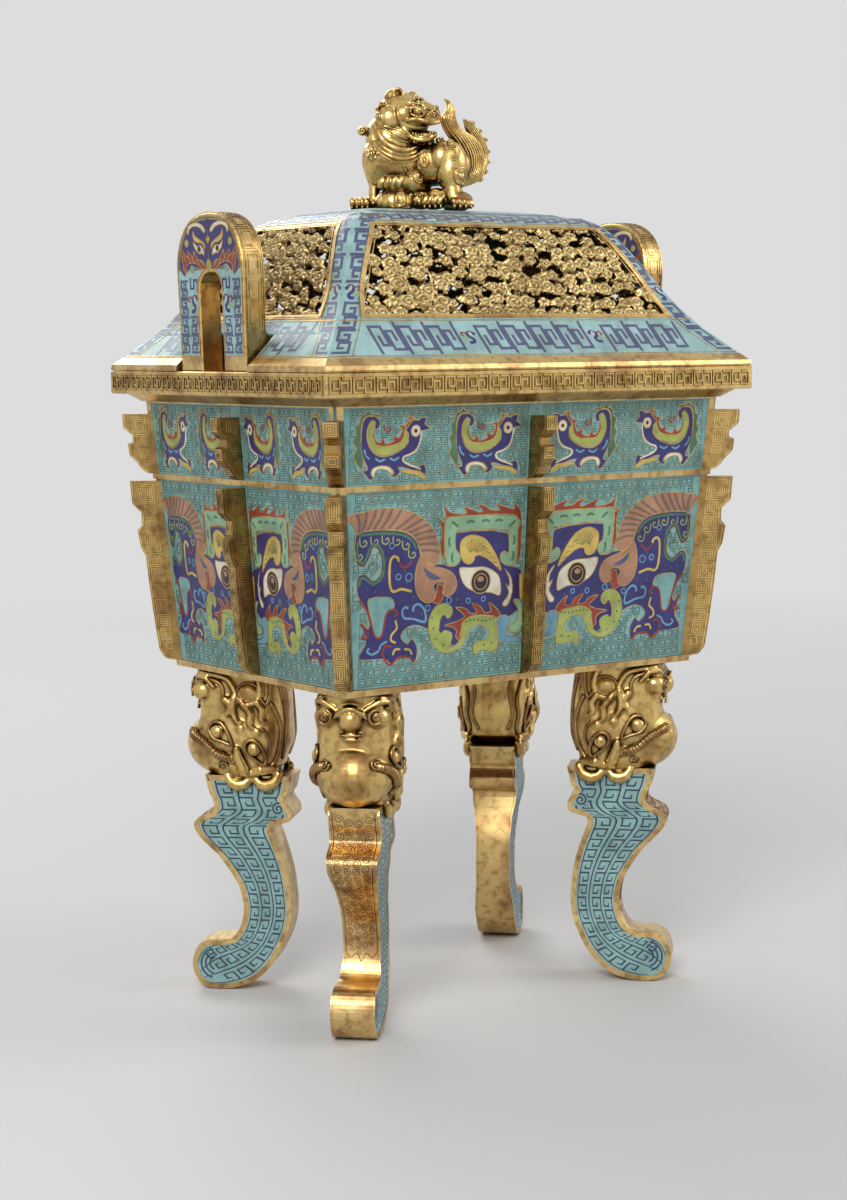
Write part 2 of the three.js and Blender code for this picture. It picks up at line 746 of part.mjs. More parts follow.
const cheeks = union([-1, 1].map((side) => {
  const ends = [side * (notchX - notch.cheek), side * beyond].sort((a, b) => a - b);
  const reach = notchHalf + notch.cheek;
  return block(...ends, -reach, reach, lipTop + 2 * gap, notchTop + notch.cheek);
})).intersect(coverSolid(notch.cheekSink));
let shell = coverOuter.subtract(coverInner).add(cheeks).subtract(notchCut(lipTop - past));
for (const side of [-1, 1]) {
  shell = shell
    .subtract(throughSide(windowOutline(frontWindow, xAxis, 0), xAxis, side))
    .subtract(throughSide(windowOutline(sideWindow, yAxis, 0), yAxis, side));
}
shell = shell.subtract(rod(mast.radius + gap, mast.x, mast.y, lipTop, domeTop + past));
piece("cover_shell", shell, coverEnamel);

// Pierced panels: a plain frame round staggered rows of cloud-shaped gaps, each a lobed
// bean whose size and turn vary by formula
const vary = (n) => Math.sin(n * 12.9898) * Math.cos(n * 4.1414);

function cloudGap(u, v, reach, number) {
  const points = [];
  const lobes = 5;
  const size = reach * (1 + 0.22 * vary(number + 3));
  const turn = 0.6 * vary(number + 7);
  for (let i = 0; i < lobes; i++) {
    const angle = (2 * Math.PI * i) / lobes;
    const swell = 1 + 0.3 * Math.cos(2 * angle) + 0.2 * vary(number * 5 + i);
    const x = 1.35 * swell * Math.cos(angle);
    const y = 0.72 * swell * Math.sin(angle);
    const across = x * Math.cos(turn) - y * Math.sin(turn);
    const up = x * Math.sin(turn) + y * Math.cos(turn);
    points.push(new THREE.Vector2(u + size * across, v + size * up));
  }
  return points;
}

function openwork(size, axis, sign) {
  const gaps = [];
  const window = windowHalf(size, axis);
  const low = windowLow + panelFrame;
  const pitch = (windowHigh - panelFrame - low) / size.rows;
  for (let row = 0; row < size.rows; row++) {
    const z = low + (row + 0.5) * pitch;
    const share = (z - windowLow) / (windowHigh - windowLow);
    const half = THREE.MathUtils.lerp(window.bottom, window.top, share) - panelFrame;
    const step = (2 * half) / (size.columns - row * 0.6);
    const shift = row % 2 ? step : step / 2;
    for (let u = shift - half; u < half - step * 0.3; u += step) {
      const number = gaps.length + row;
      const place = u + 0.12 * step * vary(number);
      const height = z + 0.14 * pitch * vary(number + 11);
      gaps.push(cloudGap(place, height, pitch * 0.3, number));
    }
  }
  return union(gaps.map((gapOutline) => throughSide(gapOutline, axis, sign)));
}

function panelSolid(size, axis, sign) {
  return coverSolid(gap)
    .subtract(coverSolid(gap + panelThickness))
    .intersect(throughSide(windowOutline(size, axis, gap), axis, sign))
    .subtract(openwork(size, axis, sign));
}

piece("openwork_front", panelSolid(frontWindow, xAxis, -1), gilt);
piece("openwork_back", panelSolid(frontWindow, xAxis, 1), gilt);
piece("openwork_left", panelSolid(sideWindow, yAxis, -1), gilt);
piece("openwork_right", panelSolid(sideWindow, yAxis, 1), gilt);

// Lion finial: it lies along the cover with its chest to the left, its head turned to the
// front and one paw on a rock. It is drawn at a height of lionDrawing above the dome
const lionDrawing = 106.8;
const lionBalls = [
  // chest, body, haunches and rump
  [[-44, 0, 45], [27, 24, 28], 0, 8, 5],
  [[-8, 0, 39], [37, 20, 20], -8, 8, 5],
  [[21, -13, 32], [18, 12, 20], 0],
  [[23, 13, 32], [18, 12, 20], 0],
  [[27, 0, 37], [18, 18, 18], 0, 7, 4],
  // neck, head, muzzle, jaw, brow and ears
  [[-41, -2, 65], [21, 20, 18], 0],
  [[-33, -5, 81], [23, 22, 21], 0, 8, 5],
  [[-27, -23, 77], [14, 12, 8.5], 0],
  [[-28, -20, 64], [11, 11, 5], 0, 7, 4],
  [[-29, -19, 92], [15, 8, 5], 0, 7, 4],
  [[-49, -9, 99], [6, 4, 7], 0, 6, 4],
  [[-17, 1, 97], [6, 4, 7], 0, 6, 4],
  // mane curls
  [[-48, 10, 89], [7, 6, 6], 0, 5, 3],
  [[-53, 11, 79], [7, 6, 6], 0, 5, 3],
  [[-62, 8, 66], [7, 6, 6], 0, 5, 3],
  // forepaws and the rock
  [[-72, 15, 6], [12, 9, 6.5], 0, 7, 4],
  [[-52, -21, 22], [14, 9, 6.5], 0, 7, 4],
  [[-42, -16, 8], [21, 15, 13], 0],
  // hind feet
  [[4, -24, 5], [15, 8, 6], 0, 7, 4],
  [[29, -14, 5], [14, 8, 6], 0, 7, 4],
  [[24, 19, 5], [16, 8, 6], 0, 7, 4],
  // spine curls
  [[-6, 0, 60], [5, 4, 4], 0, 5, 3],
  [[9, 0, 59], [5, 4, 4], 0, 5, 3],
];
const lionLimbs = [
  [[-56, 14, 32], [-66, 15, 5], 10, 7],
  [[-46, -17, 38], [-48, -20, 20], 10, 8],
  [[20, -17, 26], [12, -21, 6], 9, 7],
  [[24, 15, 26], [30, 17, 6], 9, 7],
];
const tailOutline = [
  [31, 18], [43, 22], [53, 33], [58.3, 51], [52, 67], [40.8, 76.5], [37, 69], [31, 81.5],
  [26, 71], [22, 86], [18, 95], [10.9, 97.5], [13.3, 91], [8.6, 79], [16, 67], [28, 53],
  [32, 38], [24, 28],
];

function lionFinial() {
  const scale = lionHeight / lionDrawing;
  const onDome = new THREE.Matrix4().makeScale(scale, scale, scale).setPosition(0, 0, domeTop);
  const forms = [
    ...lionBalls.map(([place, radii, ...rest]) => ball(place, radii, ...rest)),
    ...lionLimbs.map((form) => limb(...form)),
  ].map((geometry) => solidOf(geometry.applyMatrix4(onDome)));
  const tailShape = plan(tailOutline).map((p) => p.multiplyScalar(scale));
  const tail = slab(tailShape, tailThickness, new THREE.Vector3(0, 0, domeTop), xAxis);
  const root = rod(mast.radius, mast.x, mast.y, nutFoot - mast.spare, domeTop + mast.root, 16);
  return union([...forms, tail]).subtract(under(domeTop + gap)).add(root);
}

const nutHead = domeTop - shellThickness - gap;
const nutFoot = nutHead - mast.nutHeight;
piece("lion_finial", lionFinial(), gilt);
piece(
  "finial_nut",
  rod(mast.nutRadius, mast.x, mast.y, nutFoot, nutHead, 6).subtract(
    rod(mast.radius + gap, mast.x, mast.y, nutFoot - past, nutHead + past),
  ),
  copper,
);

export default burner;
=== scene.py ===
"""Looks of the cloisonne incense burner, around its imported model. Metres, +Z up.

Drawings are kept in millimetres. A Sheet lays flat drawings on a surface of the burner."""

import json
import math
import random

import bmesh
import bpy
from mathutils import Matrix, Vector
from mathutils.bvhtree import BVHTree
from mathutils.geometry import tessellate_polygon

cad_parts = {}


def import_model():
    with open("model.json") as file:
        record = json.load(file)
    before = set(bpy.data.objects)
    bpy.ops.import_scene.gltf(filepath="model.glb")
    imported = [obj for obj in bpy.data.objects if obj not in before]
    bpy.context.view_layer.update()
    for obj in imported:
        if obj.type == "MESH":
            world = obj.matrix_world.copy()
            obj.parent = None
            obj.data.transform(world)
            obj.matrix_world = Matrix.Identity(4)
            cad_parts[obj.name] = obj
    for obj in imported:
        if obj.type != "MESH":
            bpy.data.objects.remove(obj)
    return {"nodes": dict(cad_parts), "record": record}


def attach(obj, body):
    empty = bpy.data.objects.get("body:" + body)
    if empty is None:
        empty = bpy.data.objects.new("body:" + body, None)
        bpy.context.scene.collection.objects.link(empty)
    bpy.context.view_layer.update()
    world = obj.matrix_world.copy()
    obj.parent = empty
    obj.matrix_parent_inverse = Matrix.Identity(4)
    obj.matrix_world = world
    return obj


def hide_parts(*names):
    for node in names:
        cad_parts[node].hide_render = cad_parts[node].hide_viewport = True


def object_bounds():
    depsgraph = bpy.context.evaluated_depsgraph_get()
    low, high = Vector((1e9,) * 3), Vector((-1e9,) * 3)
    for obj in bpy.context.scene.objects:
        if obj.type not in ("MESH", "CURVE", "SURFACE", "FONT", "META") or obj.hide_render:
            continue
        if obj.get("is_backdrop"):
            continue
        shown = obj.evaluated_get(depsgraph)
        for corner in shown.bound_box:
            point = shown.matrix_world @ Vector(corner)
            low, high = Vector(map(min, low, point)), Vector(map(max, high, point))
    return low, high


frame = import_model()
CAD_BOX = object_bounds()
MM = 0.001

# Camera fitted to the photograph, in metres and degrees
CAMERA_PLACE = Vector((-1.28417, -1.75339, 0.58177))
CAMERA_YAW = 53.995
CAMERA_PITCH = 6.124
CAMERA_ROLL = -0.473
CAMERA_LENS = 73.07

# Sizes of the part that the drawings follow, in millimetres
BASE = (291.9, 185.8, 133.1)
TOP = (535.5, 205.0, 150.5)
BAND_TOP = 297.5
MID_LOW, MID_HIGH = 459.5, 464.3
RIM = (227.5, 171.25)
RIM_LOW, RIM_HIGH = 535.5, 555.8
LIP_TOP = 567.1
FLANGE_HALF = 6.0
FRIEZE_TOP = 527.5
DIAPER_PITCH = 7.8

# How far drawn shapes reach under their surface, so that none hangs free
WALL_ROOT, GILT_ROOT, COVER_ROOT, PLATE_ROOT = -0.5, -0.4, -0.3, -1.2

# Directions: cosine and sine of each side's turn from the front, and each corner's signs
SIDES = {"front": (1, 0), "back": (-1, 0), "left": (0, -1), "right": (0, 1)}
FACES = ("front", "right", "back", "left")
CORNERS = {"front_left": (-1, -1), "front_right": (1, -1), "back_left": (-1, 1), "back_right": (1, 1)}


# Materials

def new_material(name):
    """An empty principled material: itself, its nodes, links, shader and place."""
    material = bpy.data.materials.new(name)
    material.use_nodes = True
    nodes = material.node_tree.nodes
    place = nodes.new("ShaderNodeTexCoord").outputs["Object"]
    return material, nodes, material.node_tree.links, nodes["Principled BSDF"], place


def noise(nodes, links, place, scale, detail):
    """Noise of a size given in waves a metre."""
    node = nodes.new("ShaderNodeTexNoise")
    node.inputs["Scale"].default_value = scale
    node.inputs["Detail"].default_value = detail
    links.new(place, node.inputs["Vector"])
    return node.outputs["Fac"]


def ramp(nodes, links, source, stops):
    """A colour ramp over a value."""
    node = nodes.new("ShaderNodeValToRGB")
    spare = node.color_ramp.elements
    for i, (position, colour) in enumerate(stops):
        element = spare[i] if i < 2 else spare.new(position)
        element.position = position
        element.color = (*colour, 1)
    links.new(source, node.inputs["Fac"])
    return node.outputs["Color"]


def blend(nodes, links, kind, amount, first, second):
    """Two colours mixed by a fixed or a varying amount."""
    node = nodes.new("ShaderNodeMix")
    node.data_type = "RGBA"
    node.blend_type = kind
    if isinstance(amount, float):
        node.inputs["Factor"].default_value = amount
    else:
        links.new(amount, node.inputs["Factor"])
    for value, entry in ((first, node.inputs["A"]), (second, node.inputs["B"])):
        if isinstance(value, tuple):
            entry.default_value = (*value, 1)
        else:
            links.new(value, entry)
    return node.outputs["Result"]


def span(nodes, links, source, low, high, start=0.0, end=1.0):
    """A value between a start and an end brought between two numbers."""
    node = nodes.new("ShaderNodeMapRange")
    node.inputs["From Min"].default_value = start
    node.inputs["From Max"].default_value = end
    node.inputs["To Min"].default_value = low
    node.inputs["To Max"].default_value = high
    links.new(source, node.inputs["Value"])
    return node.outputs["Result"]


def bump(nodes, links, shader, source, strength, distance):
    """A fine relief on a shader."""
    node = nodes.new("ShaderNodeBump")
    node.inputs["Strength"].default_value = strength
    node.inputs["Distance"].default_value = distance
    links.new(source, node.inputs["Height"])
    links.new(node.outputs["Normal"], shader.inputs["Normal"])


def enamel(name, colour, rough=0.3, pits=0.02):
    """Polished enamel: cloudy colour, black pits and a soft gloss."""
    material, nodes, links, shader, place = new_material(name)
    dark = tuple(c * 0.72 for c in colour)
    light = tuple(min(1, c * 1.18 + 0.01) for c in colour)
    clouds = noise(nodes, links, place, 55, 6)
    tone = ramp(nodes, links, clouds, [(0.32, dark), (0.52, colour), (0.72, light)])
    cells = nodes.new("ShaderNodeTexVoronoi")
    cells.inputs["Scale"].default_value = 95
    cells.inputs["Randomness"].default_value = 1
    links.new(place, cells.inputs["Vector"])
    spots = ramp(nodes, links, cells.outputs["Distance"], [(pits * 2.2, (0, 0, 0)), (pits * 3.4, (1, 1, 1))])
    grain = noise(nodes, links, place, 900, 3)
    fine = ramp(nodes, links, grain, [(0.3, (0.78, 0.8, 0.8)), (0.55, (1, 1, 1))])
    links.new(blend(nodes, links, "MULTIPLY", 1.0, blend(nodes, links, "MULTIPLY", 1.0, tone, spots), fine),
              shader.inputs["Base Color"])
    links.new(span(nodes, links, clouds, rough * 0.75, rough * 1.4), shader.inputs["Roughness"])
    bump(nodes, links, shader, grain, 0.1, 0.0002)
    return material


def gilding(name, bright, worn, dark, rough=0.3, shade=True):
    """Fire gilding: bright on rubbed faces, coppery where worn; where shade is on, painted shade turns the
    creases and sheltered hollows to the dark colour.
    """
    material, nodes, links, shader, place = new_material(name)
    shader.inputs["Metallic"].default_value = 1
    clouds = noise(nodes, links, place, 34, 8)
    tone = ramp(nodes, links, clouds, [(0.36, worn), (0.52, bright)])
    grime = noise(nodes, links, place, 160, 6)
    stain = ramp(nodes, links, grime, [(0.36, (0.45, 0.36, 0.28)), (0.5, (1, 1, 1))])
    tone = blend(nodes, links, "MULTIPLY", 0.55, tone, stain)
    # Painted shade: creases found by pointiness and places that ambient occlusion finds sheltered are
    # darkened towards the dark colour
    if shade:
        edge = nodes.new("ShaderNodeNewGeometry").outputs["Pointiness"]
        hollow = ramp(nodes, links, edge, [(0.44, (0, 0, 0)), (0.5, (1, 1, 1))])
        tone = blend(nodes, links, "MIX", hollow, dark, tone)
        occlusion = nodes.new("ShaderNodeAmbientOcclusion")
        occlusion.inputs["Distance"].default_value = 0.012
        unshaded = ramp(nodes, links, occlusion.outputs["AO"], [(0.3, (0, 0, 0)), (0.82, (1, 1, 1))])
        tone = blend(nodes, links, "MIX", unshaded, dark, tone)
    links.new(tone, shader.inputs["Base Color"])
    scratches = noise(nodes, links, place, 420, 5)
    links.new(span(nodes, links, clouds, rough * 1.25, rough * 0.8), shader.inputs["Roughness"])
    bump(nodes, links, shader, scratches, 0.16, 0.0004)
    return material


# The third colour of each gilding is the painted shade of its creases and hollows, used only where shade is
# on
GILT = gilding("gilt", (0.70, 0.49, 0.18), (0.42, 0.25, 0.09), (0.05, 0.026, 0.01))
CLOUD_GILT = gilding("cloud_gilt", (0.60, 0.45, 0.20), (0.44, 0.31, 0.13), (0.06, 0.035, 0.015), 0.4)
WIRE = gilding("wire", (0.62, 0.43, 0.16), (0.42, 0.27, 0.10), (0.1, 0.06, 0.02), 0.38, False)
DIAPER = gilding("diaper_wire", (0.17, 0.17, 0.09), (0.10, 0.12, 0.08), (0.03, 0.03, 0.02), 0.5, False)
WORN_GILT = gilding("worn_gilt", (0.40, 0.25, 0.10), (0.24, 0.13, 0.055), (0.045, 0.024, 0.01), 0.32)
DARK_GILT = gilding("dark_gilt", (0.36, 0.235, 0.085), (0.22, 0.135, 0.05), (0.03, 0.02, 0.01), 0.42, False)
POLISHED = gilding("polished_gilt", (0.70, 0.50, 0.21), (0.46, 0.28, 0.12), (0.2, 0.1, 0.04), 0.3, False)
COPPER = gilding("copper", (0.25, 0.12, 0.06), (0.12, 0.06, 0.03), (0.03, 0.015, 0.01), 0.5, False)
TURQUOISE = enamel("turquoise", (0.20, 0.41, 0.40))
PALE = enamel("pale_turquoise", (0.30, 0.49, 0.49), 0.34)
LEG_TURQUOISE = enamel("leg_turquoise", (0.26, 0.45, 0.43))
LINE_BLUE = enamel("line_blue", (0.075, 0.095, 0.20), 0.32, 0.01)
LEG_LINE = enamel("leg_line", (0.035, 0.05, 0.11), 0.32, 0.01)
LAPIS = enamel("lapis", (0.030, 0.026, 0.15), 0.3, 0.015)
RED = enamel("red", (0.29, 0.04, 0.022), 0.32, 0.01)
MAUVE = enamel("mauve", (0.22, 0.12, 0.11), 0.34, 0.01)
YELLOW = enamel("yellow", (0.62, 0.45, 0.10), 0.34, 0.01)
GREEN = enamel("green", (0.25, 0.43, 0.26), 0.32, 0.01)
DEEP_GREEN = enamel("deep_green", (0.07, 0.17, 0.09), 0.32, 0.01)
LIME = enamel("yellow_green", (0.36, 0.42, 0.10), 0.32, 0.01)
CREAM = enamel("cream", (0.74, 0.68, 0.53), 0.34, 0.01)
ROSE = enamel("rose_brown", (0.42, 0.21, 0.12), 0.34, 0.01)
SKY = enamel("sky_blue", (0.14, 0.33, 0.46), 0.32, 0.01)
BLACK = enamel("black", (0.012, 0.010, 0.010), 0.25, 0.01)
OLIVE = enamel("olive", (0.16, 0.15, 0.07), 0.34, 0.02)
CREAM_WIRE = enamel("pale_edge", (0.42, 0.50, 0.40), 0.35, 0.01)


# Drawing kit

def points(text):
    """Pairs of numbers written as text."""
    return [tuple(float(n) for n in pair.split(",")) for pair in text.split()]


def smooth(path, closed=True, steps=3):
    """A rounded line through the given points."""
    count = len(path)
    result = []
    for i in range(count if closed else count - 1):
        if closed:
            a, b, c, d = (path[(i + k) % count] for k in (-1, 0, 1, 2))
        else:
            a, b, c, d = (path[min(max(i + k, 0), count - 1)] for k in (-1, 0, 1, 2))
        for step in range(steps):
            t = step / steps
            result.append(tuple(
                0.5 * (2 * b[k] + (c[k] - a[k]) * t + (2 * a[k] - 5 * b[k] + 4 * c[k] - d[k]) * t * t
                       + (3 * b[k] - a[k] - 3 * c[k] + d[k]) * t ** 3) for k in range(len(b))))
    if not closed:
        result.append(path[-1])
    return result


def finer(path, step, closed=False):
    """The same line with a point at least every step."""
    result = []
    ends = list(zip(path, path[1:] + path[:1])) if closed else list(zip(path, path[1:]))
    for a, b in ends:
        parts = max(1, math.ceil(math.dist(a, b) / step))
        result += [tuple(p + (q - p) * k / parts for p, q in zip(a, b)) for k in range(parts)]
    if not closed:
        result.append(path[-1])
    return result


def sides_of(path, half, closed):
    """The two edges of a line of some width, mitred at its bends."""
    count = len(path)
    left, right = [], []
    for i, (x, y) in enumerate(path):
        before = path[i - 1] if (i or closed) else None
        after = path[(i + 1) % count] if (i < count - 1 or closed) else None
        normals = []
        for a, b in ((before, (x, y)), ((x, y), after)):
            if a is None or b is None:
                continue
            length = math.dist(a, b) or 1
            normals.append(((a[1] - b[1]) / length, (b[0] - a[0]) / length))
        nx = sum(n[0] for n in normals) / len(normals)
        ny = sum(n[1] for n in normals) / len(normals)
        scale = half / max(nx * nx + ny * ny, 0.3)
        left.append((x + nx * scale, y + ny * scale))
        right.append((x - nx * scale, y - ny * scale))
    return left, right


def inside(x, y, outline):
    """Whether a point lies in an outline."""
    result = False
    for (ax, ay), (bx, by) in zip(outline, outline[1:] + outline[:1]):
        if (ay > y) != (by > y) and x < (bx - ax) * (y - ay) / (by - ay) + ax:
            result = not result
    return result


class Sheet:
    """Raised flat shapes and wires, laid on a surface and gathered into one piece."""

    def __init__(self, name, lay):
        self.name, self.lay = name, lay
        self.verts, self.faces, self.kinds, self.materials = [], [], [], []

    def kind(self, material):
        if material not in self.materials:
            self.materials.append(material)
        return self.materials.index(material)

    def fill(self, outline, low, high, material):
        """A flat shape between two heights over the surface."""
        count, base, kind = len(outline), len(self.verts), self.kind(material)
        for height in (low, high):
            self.verts += [self.lay(x, y, height) for x, y in outline]
        for a, b, c in tessellate_polygon([[Vector((x, y, 0)) for x, y in outline]]):
            self.faces += [(base + a, base + b, base + c),
                           (base + count + c, base + count + b, base + count + a)]
            self.kinds += [kind, kind]
        for i in range(count):
            j = (i + 1) % count
            self.faces.append((base + i, base + j, base + count + j, base + count + i))
            self.kinds.append(kind)

    def patch(self, u0, u1, v0, v1, columns, rows, low, high, material):
        """A thick sheet that follows a curved surface."""
        base, kind, wide = len(self.verts), self.kind(material), columns + 1
        for height in (low, high):
            self.verts += [self.lay(u0 + (u1 - u0) * i / columns, v0 + (v1 - v0) * j / rows, height)
                           for j in range(rows + 1) for i in range(wide)]
        top = base + wide * (rows + 1)
        faces = []
        for j in range(rows):
            for i in range(columns):
                a = j * wide + i
                faces += [(top + a, top + a + 1, top + a + 1 + wide, top + a + wide),
                          (base + a + wide, base + a + 1 + wide, base + a + 1, base + a)]
        edge = ([i for i in range(wide)] + [j * wide + columns for j in range(1, rows + 1)]
                + [rows * wide + i for i in range(columns - 1, -1, -1)]
                + [j * wide for j in range(rows - 1, 0, -1)])
        for a, b in zip(edge, edge[1:] + edge[:1]):
            faces.append((base + a, base + b, top + b, top + a))
        self.faces += faces
        self.kinds += [kind] * len(faces)

    def wire(self, path, width, low, high, material, closed=False):
        """A flat wire along a line."""
        left, right = sides_of(path, width / 2, closed)
        base, count, kind = len(self.verts), len(path), self.kind(material)
        for a, b in zip(left, right):
            self.verts += [self.lay(*a, low), self.lay(*a, high), self.lay(*b, high), self.lay(*b, low)]
        for i in range(count if closed else count - 1):
            p, q = base + 4 * i, base + 4 * ((i + 1) % count)
            for k in range(4):
                m = (k + 1) % 4
                self.faces.append((p + k, p + m, q + m, q + k))
                self.kinds.append(kind)
        if not closed:
            last = base + 4 * (count - 1)
            self.faces += [(base + 3, base + 2, base + 1, base), (last, last + 1, last + 2, last + 3)]
            self.kinds += [kind, kind]

    def cell(self, outline, low, high, material, edge=0.7, edge_material=None):
        """A coloured cell with its wire."""
        self.fill(outline, low, high, material)
        if edge:
            self.wire(outline, edge, low, high + 0.1, edge_material or WIRE, True)

    def done(self, body, slot, *nodes):
        """The piece itself, riding on a body."""
        piece(self.name, self.verts, self.faces, self.materials, body, nodes, self.kinds)


def new_mesh(name, verts, faces, materials):
    """A mesh with its materials."""
    mesh = bpy.data.meshes.new(name)
    mesh.from_pydata(verts, [], faces)
    for material in materials:
        mesh.materials.append(material)
    return mesh


def face_out(mesh):
    """Drops points without a face and turns the faces outwards."""
    work = bmesh.new()
    work.from_mesh(mesh)
    bmesh.ops.delete(work, geom=[v for v in work.verts if not v.link_faces], context="VERTS")
    bmesh.ops.recalc_face_normals(work, faces=work.faces)
    work.to_mesh(mesh)
    work.free()


def show(name, mesh, rounded=True):
    """An object in the scene that shows a mesh."""
    if rounded:
        mesh.polygons.foreach_set("use_smooth", [True] * len(mesh.polygons))
    thing = bpy.data.objects.new(name, mesh)
    bpy.context.scene.collection.objects.link(thing)
    return thing


def apply_all(thing):
    """Puts a piece's modifiers into its mesh."""
    graph = bpy.context.evaluated_depsgraph_get()
    graph.update()
    shape = bpy.data.meshes.new_from_object(thing.evaluated_get(graph))
    thing.modifiers.clear()
    thing.data = shape


def thicken(thing, thickness, offset):
    """Gives a thin sheet its thickness: inwards for an offset of -1, outwards for 1."""
    shell = thing.modifiers.new("shell", "SOLIDIFY")
    shell.thickness = thickness * MM
    shell.offset = offset
    apply_all(thing)


def settle(thing, body, nodes=()):
    """Names what a piece rides on and stands for."""
    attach(thing, body)
    if nodes:
        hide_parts(*nodes)


def piece(name, verts, faces, materials, body, nodes=(), kinds=None):
    """A mesh piece with outward faces, riding on a body and standing for some nodes."""
    mesh = new_mesh(name, verts, faces, materials)
    if kinds:
        mesh.polygons.foreach_set("material_index", kinds)
    face_out(mesh)
    settle(show(name, mesh, False), body, nodes)


def lengths_of(path):
    """The length along a line at each of its points."""
    marks = [0.0]
    for p, q in zip(path, path[1:]):
        marks.append(marks[-1] + math.dist(p, q))
    return marks


def between(marks, t):
    """The step before a length, and how far into that step it lies."""
    t = min(max(t, 0), marks[-1] - 1e-6)
    i = next(k for k in range(1, len(marks)) if marks[k] > t) - 1
    return i, (t - marks[i]) / (marks[i + 1] - marks[i])


def inset(path, depth):
    """A closed line moved inwards."""
    turn = sum(ax * by - bx * ay for (ax, ay), (bx, by) in zip(path, path[1:] + path[:1]))
    return sides_of(path, depth, True)[0 if turn > 0 else 1]


def runs(path, joins, least):
    """The stretches of a line, of at least some points, whose points may all join in."""
    run = []
    for point in path:
        if joins(run, point):
            run.append(point)
            continue
        if len(run) >= least:
            yield run
        run = []
    if len(run) >= least:
        yield run


def circle(x, y, radius, tall=1.0, sides=14):
    """A round outline, or one stretched upwards."""
    angles = [2 * math.pi * i / sides for i in range(sides)]
    return [(x + radius * math.cos(a), y + tall * radius * math.sin(a)) for a in angles]


def arc(x, y, radius, start, end, steps):
    """Points on a part of a circle, in degrees."""
    angles = [math.radians(start + (end - start) * k / steps) for k in range(steps + 1)]
    return [(x + radius * math.cos(a), y + radius * math.sin(a)) for a in angles]


def half_at(z):
    """Half sizes of the body at a height."""
    t = (z - BASE[0]) / (TOP[0] - BASE[0])
    return BASE[1] + (TOP[1] - BASE[1]) * t, BASE[2] + (TOP[2] - BASE[2]) * t


def long_half(z):
    """Half the body's length at a height."""
    return half_at(z)[0]


def short_half(z):
    """Half the body's width at a height."""
    return half_at(z)[1]


def side_lay(side, out):
    """Laying on a side of the body; out tells how far out it lies at a height."""
    c, s = SIDES[side]
    return lambda u, v, h: Vector((c * u + s * (out(v) + h), s * u - c * (out(v) + h), v)) * MM


def spiral(x0, y0, x1, y1, turns, gap):
    """A square spiral from the outside of a box inwards."""
    path = [(x0, y0)]
    for turn in range(turns):
        g = turn * gap
        path += [(x1 - g, y0 + g), (x1 - g, y1 - g), (x0 + g, y1 - g), (x0 + g, y0 + g + gap)]
    return path


# Walls: a diaper of square spirals, a frieze of birds and the two halves of a taotie mask

